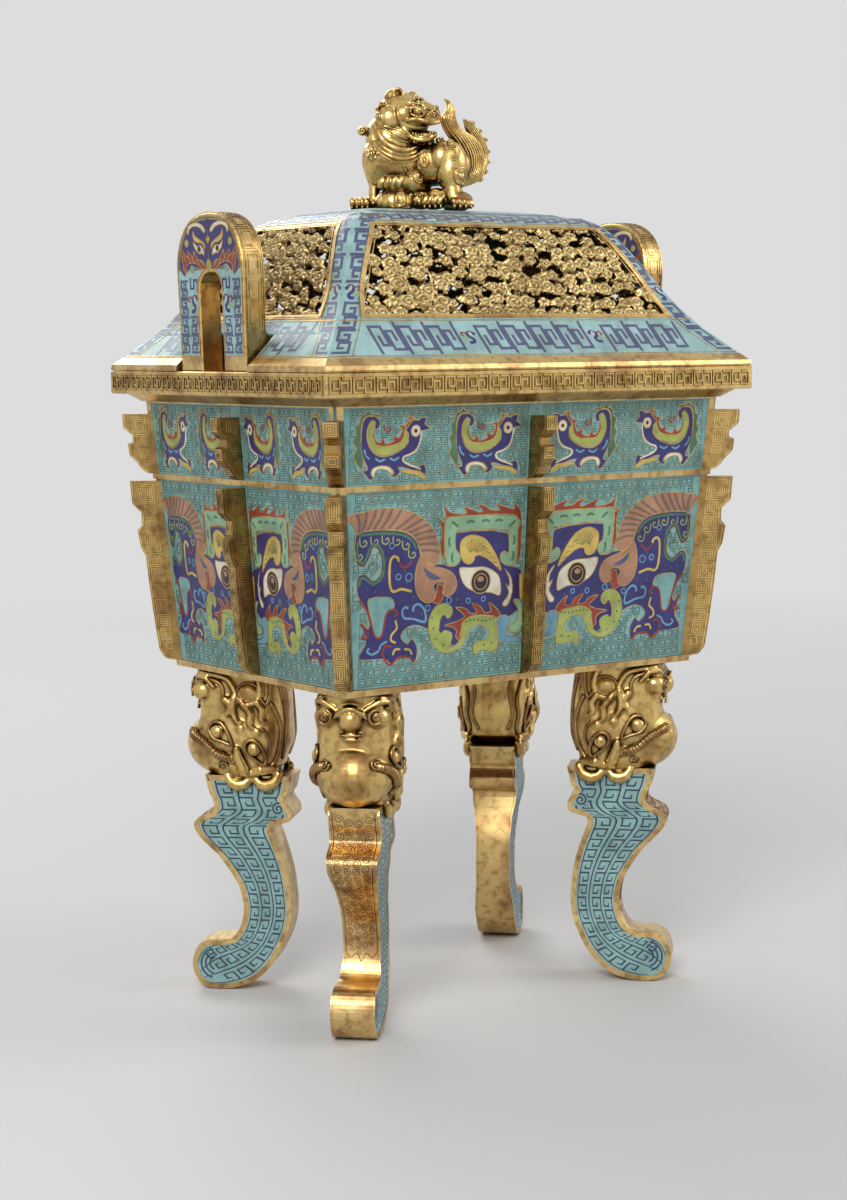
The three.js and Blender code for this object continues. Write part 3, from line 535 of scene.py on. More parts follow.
MASK = {
    "body": "179.7,425.6 171.9,427.6 153.1,427.8 134,425.6 123.5,420.2 117.2,411.4 114.6,403.9"
            " 104.6,397.2 92.6,396.5 84.9,394.2 76.6,395.5 78.6,405.5 80.1,421.5 26.1,419.2 23.6,402.3"
            " 27.1,392.5 16.7,389.4 8.2,383.8 6.9,358.5 13.2,351.4 20.9,347 30.3,346.4 44.4,348.7"
            " 59.9,348.6 69,345.6 74.3,327.3 82,329.2 93,337.5 105.3,342.8 117.5,347 127.8,345.1"
            " 132.7,338.2 125.8,332.1 121.5,336.1 116.5,329.5 115.7,322.1 118.5,315.9 125.4,321.1"
            " 134.3,321.8 141.5,316.3 149,321.2 173.9,323.1 168.4,333.8 168.5,342.2 172.1,353.4"
            " 165.8,347.5 164.6,356.4 169.6,366.4 176.4,374.1 178.1,382.6 177,390.9 169.9,392.3"
            " 161.7,386.9 154.7,393.1 156,408.8 162.7,414 166.7,405.8 171.5,399 178.8,401.8 181.4,413.9",
    "hollow": "165.5,372.2 145.1,372 140.4,364.3 146.8,360 149.5,352.9 151.3,342.1 155.6,339.4 160.1,342.8"
              " 161.9,352.6 165.1,362.5",
    "horn": "188.7,440.3 175.3,443.2 161,445.1 149.4,445.3 136.2,443.7 121.3,439.4 110.6,432.8 102.8,425.1"
            " 98.7,416.4 96.8,406.5 95.8,400.4 101.6,395.8 109.3,400 114.7,405.2 117.3,413.8 123.5,421.4"
            " 134,426.2 148.7,428.2 163.2,428.3 174.7,427.2 178.9,425.6 182.7,431.7",
    "ear": "114.7,405.2 119.2,395.7 120.3,386.1 118.6,375 112.4,367.2 104.8,364.9 98.9,368.7 99.4,373.7"
           " 101.6,378.7 97.2,381.5 91.2,381.1 90.2,376.7 91.5,371.9 85.3,368.8 78.7,373.5 77.5,380.8"
           " 82.4,388.5 92.4,392.8 104.6,396 110.8,401.3",
    "fold": "111.7,395 109,387.5 101.1,383.3 92.8,384.6 102.1,389.2",
    "tongue": "101,365 97.9,373 96.7,379.6 91.8,378.7 90.6,370.6 93.9,364.1",
    "flames": "95.4,408.9 94.3,424.7 97.6,434.6 93.4,431.3 90.4,433 92.4,444.7 86.9,439.2 73.2,437"
              " 69.5,438.4 73.2,442.9 64.2,440.5 56.4,437.8 52.3,439.1 58.3,444.5 48.9,442 44.2,439.3"
              " 34.5,438.6 39,444 28.7,441 18.9,438.7 20.3,444.1 14.2,438.9 12,434 10.6,415.3 11.6,397.8"
              " 15.4,394.3 14.9,415.5 17.3,433 85.2,435.2 91.1,431.8 91,401.3",
    "bracket": "88,396.2 90.8,406.2 91.8,420.9 91.1,431.8 85.2,435.4 64,435.3 40.9,435.4 20.6,434.4"
               " 14.9,430.4 14.1,415.4 14,397.9 16.8,391.9 24.6,391.1 31.4,395.3 32.2,400.9 28.1,403.5"
               " 23.9,401 23.4,404.7 24.5,418.5 27.7,421.8 54.2,423.2 75.6,423.7 80,420.3 79.5,408"
               " 75.5,404.1 74.8,397.9 80.4,394.5",
    "brow": "74.8,405.3 74.4,413.8 67.8,418.4 58.6,418.5 49.2,414.9 42.7,408.3 36.8,400.6 32.6,392.8"
            " 31,387.1 38.8,393.2 46.8,398.7 54.7,401.6 59.3,400.6 60.3,397 65.1,394.8 71.4,397.7",
    "eye": "74.9,391.7 63.5,391.6 49.6,391.4 38.5,387 31.9,380.3 30.9,366.5 40.8,369.1 53.2,370.5 64.2,373.8"
           " 71.4,380.4",
    "crescent": "27.3,388.5 20.7,382.1 17.8,373.1 18.9,364.4 22.9,357.2 26.9,356.8 27.8,359.4 24.1,363.5"
                " 21.9,368.4 25.8,375.9 21.9,373.4 22.2,380.3",
    "jaw": "70.3,339.5 69.8,345.6 60,350.5 44.5,350 34.1,345.4 32.4,320.2 49.3,320.9 55.4,316.8 58,324.8"
           " 52.8,328.7 42.8,329.8 41.6,337.2 50.4,342.9 59.6,341.7 63.2,336.4 68.9,326.9 77.2,322.6"
           " 84.7,321.4 95.5,325.4 102.7,334.6 105.2,345.9 102.9,355.5 97.1,361.9 88.1,363.1 81.5,358.9"
           " 81.3,353.3 85.3,350.5 89.2,353.9 92.8,349.8 94,341.9 92.3,338.1 87.9,340.6 81.2,337.8"
           " 80.4,332.8 83.4,326.2 76.6,326.9 71.5,332.1",
    "jawflames": "77.3,359.2 66.5,357.2 62.5,353.2 54.7,353.2 60.5,361.3 51.1,357.9 47,352.6 40,353.4"
                 " 42.7,360.7 34.6,355.5 30.1,349.5 34.2,346.7 44.5,349.7 60,350.2 69,346.2 71,338.3"
                 " 72.2,330.9 76.2,334.3 75.6,338.6 79.6,342.7 88.5,344.6 78.2,346.5 72.2,348.3 67.7,350.4"
                 " 71,354.4",
    "nose": "33.1,346.6 24.9,348.8 19.6,344.4 22.4,337 20.1,331.1 7,327.5 7,324.9 27.7,326.3 32.4,332.7",
    "noseleaf": "16.8,361.1 10.5,361.3 7,356 7,333.8 20.3,334.9 18.2,340.5 12.7,342.6 11.3,352.6",
    "nosebar": "11.2,381.5 7.6,381.5 7,361 9.8,363.5",
}
MASK_LINES = [
    (YELLOW, 2.2,
     "137.4,401.1 138.3,404.1 142.3,405.6 145.5,402.2 146.2,392.6 145.2,381.6 141.6,376.6 133.6,378.2"
     " 123.1,375.5"),
    (RED, 1.8, "136.7,400.4 132.8,396 127,397.4 124.2,401.5"),
    (SKY, 1.8, "121,358.7 120.4,362.9 115.2,364.4 109.3,358.4 108.6,349.2 120.7,352.6 129.7,353.8"
               " 132.1,359.5 129.3,362.9 126.3,361.5"),
    (RED, 1.8, "174.9,371.6 168.1,363.9 163.3,352.7 160.1,342.8 155.6,339 151.3,342.1 149.5,352.9"
               " 146.8,360 140.3,361.9 137.2,357.4 140.8,355.9"),
    (RED, 1.8, "142.1,331 148,332.1 150.7,326.3 147.5,319.9 142.2,315.8 135.8,321.1 128.4,321.7"
               " 122.4,320.2 118.8,316"),
    (SKY, 1.8, "164,331.6 166.1,328.7 160.9,326.1 154.4,329 152.4,333.1 146.6,335.9"),
    (YELLOW, 1.8, "140.3,323.9 138.3,328.3 133.1,328.2"),
    (YELLOW, 1.8, "128.6,327.8 123.4,327 121,322.8"),
    (YELLOW, 1.8, "138.8,352.7 137,345.9 141.7,341.4 142.6,336.5 137.7,334"),
    (RED, 1.8, "173,352.3 168.9,345.3 171.6,340.1 166.5,340.3 165.7,345.7"),
]
BIRD = {
    "body": "37.3,13.1 31.5,17.3 33.4,22.3 27.1,21.9 25.5,20.3 18.7,21 13.2,17.8 11.4,12.1 14.3,8.6"
            " 15.5,2.9 9.8,-2.6 0.3,-6.8 -10.8,-8.1 -18.4,-5 -23.5,0.8 -25.8,8.7 -24.7,16.5 -20.8,21.5"
            " -17.3,19.1 -18.3,15.5 -15.7,14 -13.1,17.3 -13.9,21.3 -18.9,24.8 -25.7,25 -30.3,21.2"
            " -31.4,13.4 -31,1 -28.6,-8.1 -24.9,-15 -24.1,-18.4 -28.2,-19.4 -25.3,-22.8 -21.8,-26.4"
            " -18.4,-25.4 -20.6,-20.8 -18,-16.9 -10.5,-15.5 -2.1,-16.9 2.2,-21.7 -1.1,-24.9 4.4,-24.6"
            " 8.1,-20.8 6.2,-17.3 11.8,-17.7 20.4,-20.3 28.2,-21 33.3,-25.4 34.1,-19.7 31.5,-15.7"
            " 25.9,-17.8 17.4,-16.5 10.2,-12.3 11.5,-8.3 18.4,-6.3 25.2,-0.8 27.7,7.1 28.9,11.6",
    "wing": "-20.1,21.1 -24.7,16.5 -25,6.4 -20.6,-1.6 -13.6,-6.3 -2.5,-6.2 8.5,-2.5 14.5,2.9 15.2,9.7"
            " 11.5,12.1 10.9,6.5 5.5,2.1 -5.6,0.2 -15.2,1.1 -19.3,6.3 -20.4,13 -17.3,18.6",
    "red": "-19.8,13 -19.8,6.8 -15.9,1.1 -6.9,-0.9 3.4,0.8 9.8,5.4 12.1,12.1 18.7,20.1 22.8,24.3"
           " 18.6,22.2 14.3,24.8 15.9,20.5 11.5,16.7 5.2,16.3 9.2,13.9 8,8.8 5.7,6.3 -0.3,8.8 1.2,4.3"
           " -4.3,2.4 -7.4,2.2 -10,7.3 -11.9,3.2 -16.5,4.8 -18,8.5",
    "foot": "7.8,-20.2 14.8,-22.4 24.8,-24 29.4,-26.4 33.7,-27.7 32.5,-24.2 26,-21.1 17.5,-20",
    "arc": "-20.6,-22.1 -18,-16.9 -10.5,-15.5 -2.1,-17.2 1.1,-21.6 -1.5,-21.7 -4.8,-19.3 -11.8,-17.9"
           " -16.2,-20 -17.4,-24.5",
    "tail": "-25,24.8 -14.7,23.9 -13.1,25.8 -22,26.8 -24.5,29.6 -27.1,26.7 -31.8,24.8 -33.4,19 -37,16.7"
            " -35.5,9 -38.6,4.8 -35.3,-1.1 -38.2,-7.5 -33.9,-13.5 -29.6,-18.4 -28.3,-10.3 -30.5,-1.3"
            " -31,12.2 -29.4,20.6",
}
BIRD_LINES = [
    (CREAM, 1.2, "28.5,11.6 27.2,2.5 23.9,-4.2 17,-7.4 11.5,-9.1 11.6,-12.7 17.4,-15.6 28.8,-19.5"),
    (SKY, 1.6, "-27.7,-1.9 -25.9,-7 -22.4,-9.6"),
    (SKY, 1.6, "-16.5,-9.4 -12.3,-11.8 -7.2,-10.2"),
    (SKY, 1.6, "-2.4,-9.4 1.8,-11.4 6.8,-9.1"),
    (RED, 1.2, "-9,17.2 -8.1,13.3 -4.6,11.5 -2.2,13.4 -4.1,15.4 -5.8,14"),
]
BIRD_LEVEL = 495.7
BIRD_PLACES = (52.0, 147.0)
MASK_COLOURS = [
    ("body", LAPIS, 1), ("hollow", TURQUOISE, 2), ("horn", ROSE, 2), ("flames", RED, 2),
    ("bracket", GREEN, 3), ("brow", YELLOW, 3), ("eye", CREAM, 3), ("ear", ROSE, 3),
    ("fold", LINE_BLUE, 4), ("tongue", RED, 4), ("crescent", CREAM, 3), ("jawflames", RED, 2),
    ("jaw", LIME, 3), ("nose", SKY, 3), ("noseleaf", GREEN, 3), ("nosebar", YELLOW, 3),
]
BIRD_COLOURS = [("tail", DEEP_GREEN, 1), ("body", LAPIS, 1), ("red", RED, 2), ("wing", LIME, 3),
                ("foot", YELLOW, 2), ("arc", CREAM, 2)]

HORN_OUTER, HORN_INNER = slice(0, 11), slice(13, 21)
HORN_STRIPES = 14
LINING_LEFT, LINING_LOW = 119, 380
CURLS = points("172,419 161,419.5 150,420 139,418.5 129.5,414.5 123,407 176,408")
DASHES = points("81.1,428.8,0.6 64.8,429.6,0 49.1,429.6,0 35.2,429.2,0 20.5,426.5,-0.6 18.9,412.6,-1.5"
                " 19.5,399,-1.5 85.6,414.5,1.5 82,401,1.5")
RINGS = points("144.5,414.5,2.4 137,388.5,2.4 126.5,387.6,3.2 106.3,360.5,2.4 64.5,363.8,2.2 84.5,365.5,2.6"
               " 48.5,364.3,2")
GILT_DOTS = points("166,410 157,409.5 149,404 131,409 152,397 131,393 128.5,383 144,371 152,376 133,369"
                   " 121,371 127,364 145,383 149,390 76,366 71,361.5 56,360.5 40,362 112,356 160,378"
                   " 168,379 163,401")
GREEN_DOTS = ([(66 - 4.2 * k, 346.4 + 0.9 * math.sin(k)) for k in range(8)]
              + points("101.5,352 99.5,343 97,334 89,328 80,327 38,326 46,325"))
IRIS = (52.1, 379.1)
IRIS_RINGS = ((10.6, WIRE), (9.6, BLACK), (7.4, ROSE), (6.2, BLACK))


def level(step):
    """Height over the ground of one layer of the drawing."""
    return 0.10 + 0.06 * step


class Half:
    """One half of a wall's drawing, mirrored and drawn in to the wall's width."""

    def __init__(self, sheet, side, scale):
        self.sheet, self.side, self.scale = sheet, side, scale

    def set_out(self, path):
        """The line as it lies on the wall."""
        return [(self.side * x * self.scale, y) for x, y in path]

    def cell(self, path, material, step, edge=0.75):
        """A coloured cell with its wire."""
        self.sheet.cell(self.set_out(path), WALL_ROOT, level(step), material, edge)

    def line(self, path, width, material, step, closed=False):
        """A coloured line."""
        self.sheet.wire(self.set_out(path), width, WALL_ROOT, level(step), material, closed)


def horn_stripes(half):
    """Stripes from the horn's outer edge to its inner edge."""
    outer = smooth(points(MASK["horn"])[HORN_OUTER], False, 3)
    inner = smooth(points(MASK["horn"])[HORN_INNER], False, 4)[::-1]
    for k in range(1, HORN_STRIPES):
        a = outer[int(k * (len(outer) - 1) / HORN_STRIPES)]
        b = inner[int(k * (len(inner) - 1) / HORN_STRIPES)]
        stripe = smooth([a, ((a[0] + b[0]) / 2 - 1.6, (a[1] + b[1]) / 2 + 0.8), b], False, 3)
        half.line(stripe, 3.0 - 0.08 * k, MAUVE, 3)
        half.line(stripe, 0.6, OLIVE, 4)


def body_lining(half):
    """A dark green lining inside the outer part of the mask's body."""
    body = smooth(points(MASK["body"]), True, 2)

    def joins(run, place):
        return place[0] > LINING_LEFT and place[1] > LINING_LOW and inside(*place, body)
    for run in runs(inset(body, 2.6), joins, 4):
        half.line(run, 2.2, DEEP_GREEN, 3)


def brow_feathers(half):
    """Fine lines that fan out over the brow."""
    for k in range(9):
        a = 0.35 + 0.3 * k
        b = a + 0.25
        half.line([(61 + 3.5 * math.cos(a), 403 + 2.5 * math.sin(a)),
                   (60 + 11 * math.cos(b), 405 + 11 * math.sin(b))],
                  0.6, OLIVE, 5)
    for k in range(5):
        half.line([(52 - 4 * k, 409 - 4.6 * k), (45.5 - 3.2 * k, 406.5 - 4.2 * k)], 0.6, OLIVE, 5)


def mask_half(half):
    """Half a taotie mask beside the middle flange."""
    for name, material, step in MASK_COLOURS:
        half.cell(smooth(points(MASK[name])), material, step)
    for material, width, path in MASK_LINES:
        half.line(smooth(points(path), False), width, material, 4)
    horn_stripes(half)
    body_lining(half)
    for x, y in CURLS:
        curl = [(x + 4.6, y + 3.6), (x + 4, y - 2.4), (x, y - 3.8), (x - 2.6, y - 1), (x - 0.6, y + 1.2),
                (x + 1, y - 0.6)]
        half.line(smooth(curl, False, 2), 1.0, LIME, 3)
    for x, y, turn in DASHES:
        dash = [(x + 4 * math.cos(turn) * k - 1.2 * math.sin(turn) * (k * k - 1),
                 y + 4 * math.sin(turn) * k - 1.2 * math.cos(turn) * (k * k - 1))
                for k in (-1, -0.5, 0, 0.5, 1)]
        half.line(dash, 2.0, DEEP_GREEN, 5)
    brow_feathers(half)
    stretch = half.scale ** 0.5
    for step, (radius, material) in enumerate(IRIS_RINGS):
        half.cell(circle(*IRIS, radius / stretch, stretch, 20), material, 4 + step, 0)
    half.cell(circle(52.6, 381.4, 3.4, 0.7), ROSE, 8, 0)
    for x, y, radius in RINGS:
        half.line(circle(x, y, radius), 0.9, SKY, 3, True)
    for x, y in GILT_DOTS:
        half.line(circle(x, y, 1.0, 1, 8), 0.5, DIAPER, 3, True)
    for x, y in GREEN_DOTS:
        half.cell(circle(x, y, 1.0, 1, 8), DEEP_GREEN, 5, 0)


def bird(half, centre):
    """A crested bird that faces the middle flange."""
    def moved(path):
        return [(centre - x, BIRD_LEVEL + y) for x, y in path]
    for name, material, step in BIRD_COLOURS:
        half.cell(moved(smooth(points(BIRD[name]), True, 2)), material, step, 0.7)
    for material, width, path in BIRD_LINES:
        half.line(moved(smooth(points(path), False, 3)), width, material, 4)
    for radius, material, step in ((5.0, WIRE, 3), (4.3, CREAM, 4), (1.8, RED, 5), (1.0, BLACK, 6)):
        half.cell(moved(circle(22.6, 11.8, radius)), material, step, 0)


def diaper(sheet, reach, covered):
    """Square spirals in rows, left out where a motif lies."""
    def joins(run, point):
        if covered(*point):
            return False
        return not run or not covered((run[-1][0] + point[0]) / 2, (run[-1][1] + point[1]) / 2)

    for low, high in ((BAND_TOP + 1.5, MID_LOW - 1.5), (MID_HIGH + 1.5, FRIEZE_TOP - 1)):
        rows = round((high - low) / DIAPER_PITCH)
        pitch = (high - low) / rows
        for row in range(rows):
            y = low + row * pitch
            columns = int((reach(y) - 9 - FLANGE_HALF - 1) / pitch)
            for side in (-1, 1):
                for column in range(columns):
                    x = FLANGE_HALF + 1.5 + column * pitch
                    path = spiral(x + 0.7, y + 0.7, x + pitch - 0.7, y + pitch - 0.7, 2, 1.7)[:-1]
                    if (row + column) % 2:
                        path = [(2 * x + pitch - px, 2 * y + pitch - py) for px, py in path]
                    for run in runs([(side * px, py) for px, py in path], joins, 2):
                        sheet.wire(run, 0.6, COVER_ROOT, 0.14, DIAPER)


def wall_borders(sheet, reach):
    """Plain gilt borders along the top and the corners."""
    for side in (-1, 1):
        inner = [(side * (reach(z) - 8), z) for z in (BAND_TOP + 0.5, FRIEZE_TOP)]
        outer = [(side * (reach(z) - 1.5), z) for z in (BAND_TOP + 0.5, FRIEZE_TOP)]
        sheet.fill([inner[0], outer[0], outer[1], inner[1]], WALL_ROOT, 0.35, POLISHED)
    top = reach(531) - 1.5
    sheet.fill([(-top, FRIEZE_TOP), (top, FRIEZE_TOP), (top, 535), (-top, 535)], WALL_ROOT, 0.6, POLISHED)


def wall(name, lay, reach, scale):
    """Everything drawn on one wall; reach is its half width at a height."""
    sheet = Sheet(name + "_enamel", lay)
    shapes = []
    for half in (Half(sheet, -1, scale), Half(sheet, 1, scale)):
        mask_half(half)
        for key in ("body", "horn", "flames", "ear", "jaw", "jawflames", "nose", "noseleaf"):
            shapes.append(half.set_out(smooth(points(MASK[key]), True, 1)))
        for centre in BIRD_PLACES:
            bird(half, centre)
            for key in ("body", "wing", "tail", "red", "foot"):
                shapes.append(half.set_out([(centre - x, BIRD_LEVEL + y) for x, y in points(BIRD[key])]))
    boxes = [(min(p[0] for p in s) - 0.5, max(p[0] for p in s) + 0.5,
              min(p[1] for p in s) - 0.5, max(p[1] for p in s) + 0.5, s) for s in shapes]

    def covered(x, y):
        return any(a < x < b and c < y < d and inside(x, y, s) for a, b, c, d, s in boxes)
    diaper(sheet, reach, covered)
    wall_borders(sheet, reach)
    sheet.done("vessel", "body_enamel")


SIDE_SCALE = (short_half(440) - 8) / (long_half(440) - 8)
wall("front", side_lay("front", short_half), long_half, 1.0)
wall("back", side_lay("back", short_half), long_half, 1.0)
wall("left", side_lay("left", long_half), short_half, SIDE_SCALE)
wall("right", side_lay("right", long_half), short_half, SIDE_SCALE)


# Key fret on the rim, and nested squares on the flanges

def fret_row(sheet, start, end, low, high, unit, width, rise, material):
    """A row of paired square spirals between two rails."""
    count = max(1, round((end - start) / unit))
    pitch = (end - start) / count
    for y in (low + width / 2, high - width / 2):
        sheet.wire([(start, y), (end, y)], width, GILT_ROOT, rise, material)
    inner_low, inner_high = low + width * 1.9, high - width * 1.9
    tall = inner_high - inner_low
    step = tall / 5
    for k in range(count):
        x = start + k * pitch
        a, b = x + pitch * 0.06, x + pitch * 0.94
        middle = (a + b) / 2
        one = [(middle - step * 0.6, inner_low), (a, inner_low), (a, inner_high),
               (middle - step * 0.4, inner_high),
               (middle - step * 0.4, inner_low + 1.5 * step), (a + 1.5 * step, inner_low + 1.5 * step),
               (a + 1.5 * step, inner_high - 1.5 * step)]
        two = [(2 * middle - px, inner_low + inner_high - py) for px, py in one]
        for path in (one, two):
            sheet.wire(path, width, GILT_ROOT, rise, material)


def rim_fret(side, half, out, unit):
    """The fret round one side of the rim."""
    sheet = Sheet("rim_fret_" + side, side_lay(side, lambda v: out))
    low, high, end = RIM_LOW + 2.6, RIM_HIGH - 2.6, half - 3.4
    sheet.fill([(-end, low), (end, low), (end, high), (-end, high)], GILT_ROOT, 0.05, DARK_GILT)
    fret_row(sheet, -half + 3, half - 3, RIM_LOW + 2.2, RIM_HIGH - 2.2, unit, 1.25, 0.8, GILT)
    sheet.done("vessel", "gilt")


for side in ("front", "back"):
    rim_fret(side, RIM[0], RIM[1], 23)
for side in ("left", "right"):
    rim_fret(side, RIM[1], RIM[0], 18)

UPPER_FLANGE = [(21.5, 1), (22, 0.77), (14.5, 0.65), (15, 0.53), (19.5, 0.5), (19.3, 0.31), (13.5, 0.19),
                (9.5, 0.07), (4, 0)]
LOWER_FLANGE = [(22, 1), (22.5, 0.872), (15, 0.826), (16, 0.754), (20.5, 0.726), (19.5, 0.63), (16, 0.58),
                (16, 0.4),
                (15, 0.162), (14, 0.05), (9.5, 0.008), (3, 0)]
FLANGE_SPANS = {"upper": (UPPER_FLANGE, MID_HIGH + 0.3, RIM_LOW - 18.2),
                "lower": (LOWER_FLANGE, BAND_TOP + 0.3, MID_LOW - 1.7)}
FLANGE_SIDES = {"front_left": (-1, -1), "front_right": (1, -1), "back_left": (-1, 1), "back_right": (1, 1),
                "front": (0, -1), "back": (0, 1), "left": (-1, 0), "right": (1, 0)}


def flange_relief(name, side, profile, low, high):
    """Nested squares on a flange's two faces and along its edge."""
    out = Vector((*side, 0)).normalized()
    across = Vector((-out.y, out.x, 0))

    def spot(u, z, v):
        half = half_at(z)
        return (Vector((side[0] * half[0], side[1] * half[1], z)) + out * u + across * v) * MM

    edge = [(u, low + share * (high - low)) for u, share in profile]
    sheet = Sheet(name, None)
    for turn in (-1, 1):
        sheet.lay = lambda u, z, h, turn=turn: spot(u, z, turn * (FLANGE_HALF + h))
        rail = [(u - 1.4, z) for u, z in edge]
        sheet.wire(rail, 1.3, GILT_ROOT, 0.55, GILT)
        z = high - 3
        while z - low > 9:
            reach = min(u for u, y in finer(edge, 2) if z - 14 < y < z + 1) - 3.4
            tall = min(reach - 1.2, z - low - 3)
            if tall > 5:
                for shrink in (0, 1.9, 3.8, 5.7):
                    if reach - 2 * shrink > 2.5 and tall - 2 * shrink > 2:
                        box = [(1.6 + shrink, z - shrink), (reach - shrink, z - shrink),
                               (reach - shrink, z - tall + shrink),
                               (1.6 + shrink, z - tall + shrink)]
                        sheet.wire(box, 0.8, GILT_ROOT, 0.5, GILT, True)
            z -= max(tall, 6) + 2.4
    for (u0, z0), (u1, z1) in zip(edge, edge[1:]):
        length = math.dist((u0, z0), (u1, z1))
        if length < 6.5:
            continue
        along = ((u1 - u0) / length, (z1 - z0) / length)
        normal = (-along[1], along[0]) if along[1] < 0 else (along[1], -along[0])
        sheet.lay = lambda a, b, h, u0=u0, z0=z0, along=along, normal=normal: spot(
            u0 + along[0] * a + normal[0] * h, z0 + along[1] * a + normal[1] * h, b)
        count = max(1, round(length / 15))
        pitch = length / count
        for k in range(count):
            for shrink in (0, 1.9, 3.8):
                x0, x1, y = (k * pitch + 0.9 + shrink, (k + 1) * pitch - 0.9 - shrink,
                             FLANGE_HALF - 1.1 - shrink)
                if x1 - x0 > 0.8 and y > 0.3:
                    sheet.wire([(x0, -y), (x1, -y), (x1, y), (x0, y)], 0.9, GILT_ROOT, 0.5, GILT, True)
    sheet.done("vessel", "gilt")


for place, side in FLANGE_SIDES.items():
    for part, (profile, low, high) in FLANGE_SPANS.items():
        flange_relief(f"flange_{part}_{place}_relief", side, profile, low, high)


# Cover: a smooth skin over the profile, with bold frets, frames and openwork

COVER_FOOT = LIP_TOP + 0.3
SKIN = 4.6
PROFILE = smooth(points("8.4,0 20,11.5 32,23.5 42,36 54,54 65,75 77,96 86,107.5 98,116.5 124,123"
                        " 152,126.3"), False, 5)
LENGTHS = lengths_of(PROFILE)
WINDOW_LOW, WINDOW_HIGH = 31.0, 111.0
FRONT_WINDOW = (165.6, 121.0, 9)
SIDE_WINDOW = (108, 65.5, 7)
NOTCH_HALF = 57.0
NOTCH_X = 200.0


def profile_at(t):
    """Inset, height and outward normal at a length along the cover's profile."""
    i, f = between(LENGTHS, t)
    (s0, h0), (s1, h1) = PROFILE[i], PROFILE[i + 1]

    def slope(k):
        a, b = PROFILE[max(k - 1, 0)], PROFILE[min(k + 1, len(PROFILE) - 1)]
        return Vector((b[1] - a[1], b[0] - a[0])).normalized()

    normal = slope(i).lerp(slope(i + 1), f).normalized()
    return s0 + (s1 - s0) * f, h0 + (h1 - h0) * f, normal


def length_where(part, value):
    """The length along the profile where its inset (0) or its height (1) reaches a value."""
    k = next(k for k in range(1, len(PROFILE)) if PROFILE[k][part] >= value)
    f = (value - PROFILE[k - 1][part]) / (PROFILE[k][part] - PROFILE[k - 1][part])
    return LENGTHS[k - 1] + f * (LENGTHS[k] - LENGTHS[k - 1])


WINDOW_START, WINDOW_END = length_where(1, WINDOW_LOW), length_where(1, WINDOW_HIGH)
NOTCH_TOP = length_where(0, RIM[0] - NOTCH_X)


def corner_radius(height):
    """Radius of the cover's corner at a height."""
    t = min(max((height - 23) / 100, 0), 1)
    return 0.6 + 13.5 * t * t * (3 - 2 * t)


def face_lay(turn):
    """Laying on a face of the cover: 0 front, 1 right, 2 back, 3 left."""
    long_side = turn % 2 == 0
    spin = Matrix.Rotation(turn * math.pi / 2, 3, "Z")

    def lay(u, t, h):
        s, height, normal = profile_at(t)
        reach = (RIM[1] if long_side else RIM[0]) - s + normal.x * h
        return spin @ Vector((u, -reach, COVER_FOOT + height + normal.y * h)) * MM
    return lay


def corner_lay(sx, sy):
    """Laying round a corner of the cover: u runs from the corner's middle."""
    def lay(u, t, h):
        s, height, normal = profile_at(t)
        r = corner_radius(height)
        a, b = RIM[0] - s - r, RIM[1] - s - r
        quarter = r * math.pi / 4
        angle = math.pi / 4 + min(max(u, -quarter), quarter) / r
        spare = max(abs(u) - quarter, 0)
        x = a + (r + normal.x * h) * math.cos(angle) - (spare if u > 0 else 0)
        y = b + (r + normal.x * h) * math.sin(angle) - (spare if u < 0 else 0)
        return Vector((sx * x, sy * y, COVER_FOOT + height + normal.y * h)) * MM
    return lay


def window_of(turn):
    """The window's half widths at its foot and top, and its bow, on a face."""
    return SIDE_WINDOW if turn % 2 else FRONT_WINDOW


def window_half(turn, t):
    """Half width of a face's window at a length along the profile."""
    bottom, top, bow = window_of(turn)
    f = (profile_at(t)[1] - WINDOW_LOW) / (WINDOW_HIGH - WINDOW_LOW)
    return bottom + (top - bottom) * f + 2 * bow * f * (1 - f)


def face_strips(turn, stations):
    """The rows of one face, round its window and over the notch of its handle."""
    def flat_half(t):
        s, height, _ = profile_at(t)
        return RIM[turn % 2] - s - corner_radius(height)

    def across(t, a, b, parts):
        return [(a + (b - a) * k / parts, t) for k in range(parts + 1)]

    def knots(t, edge):
        bound = min(edge, flat_half(t) - 1)
        return [(-flat_half(t), t), (-bound, t), (bound, t), (flat_half(t), t)]

    low = [t for t in stations if t <= WINDOW_START + 1e-6]
    middle = [t for t in stations if WINDOW_START - 1e-6 <= t <= WINDOW_END + 1e-6]
    high = [t for t in stations if t >= WINDOW_END - 1e-6]
    edges = [window_half(turn, t) for t in middle]
    for side in (-1, 1):
        yield [across(t, side * e, side * flat_half(t), 3) for t, e in zip(middle, edges)]
    if turn % 2:
        below = [t for t in low if t <= NOTCH_TOP + 1e-6]
        for side in (-1, 1):
            yield [across(t, side * NOTCH_HALF, side * flat_half(t), 4) for t in below]
        low = [t for t in low if t >= NOTCH_TOP - 1e-6]
    yield [knots(t, edges[0]) for t in low]
    yield [knots(t, edges[-1]) for t in high]


def corner_row(t):
    """Places from one end of a corner's curve to the other."""
    quarter = corner_radius(profile_at(t)[1]) * math.pi / 4
    return [(quarter * k / 4, t) for k in range(-4, 5)]


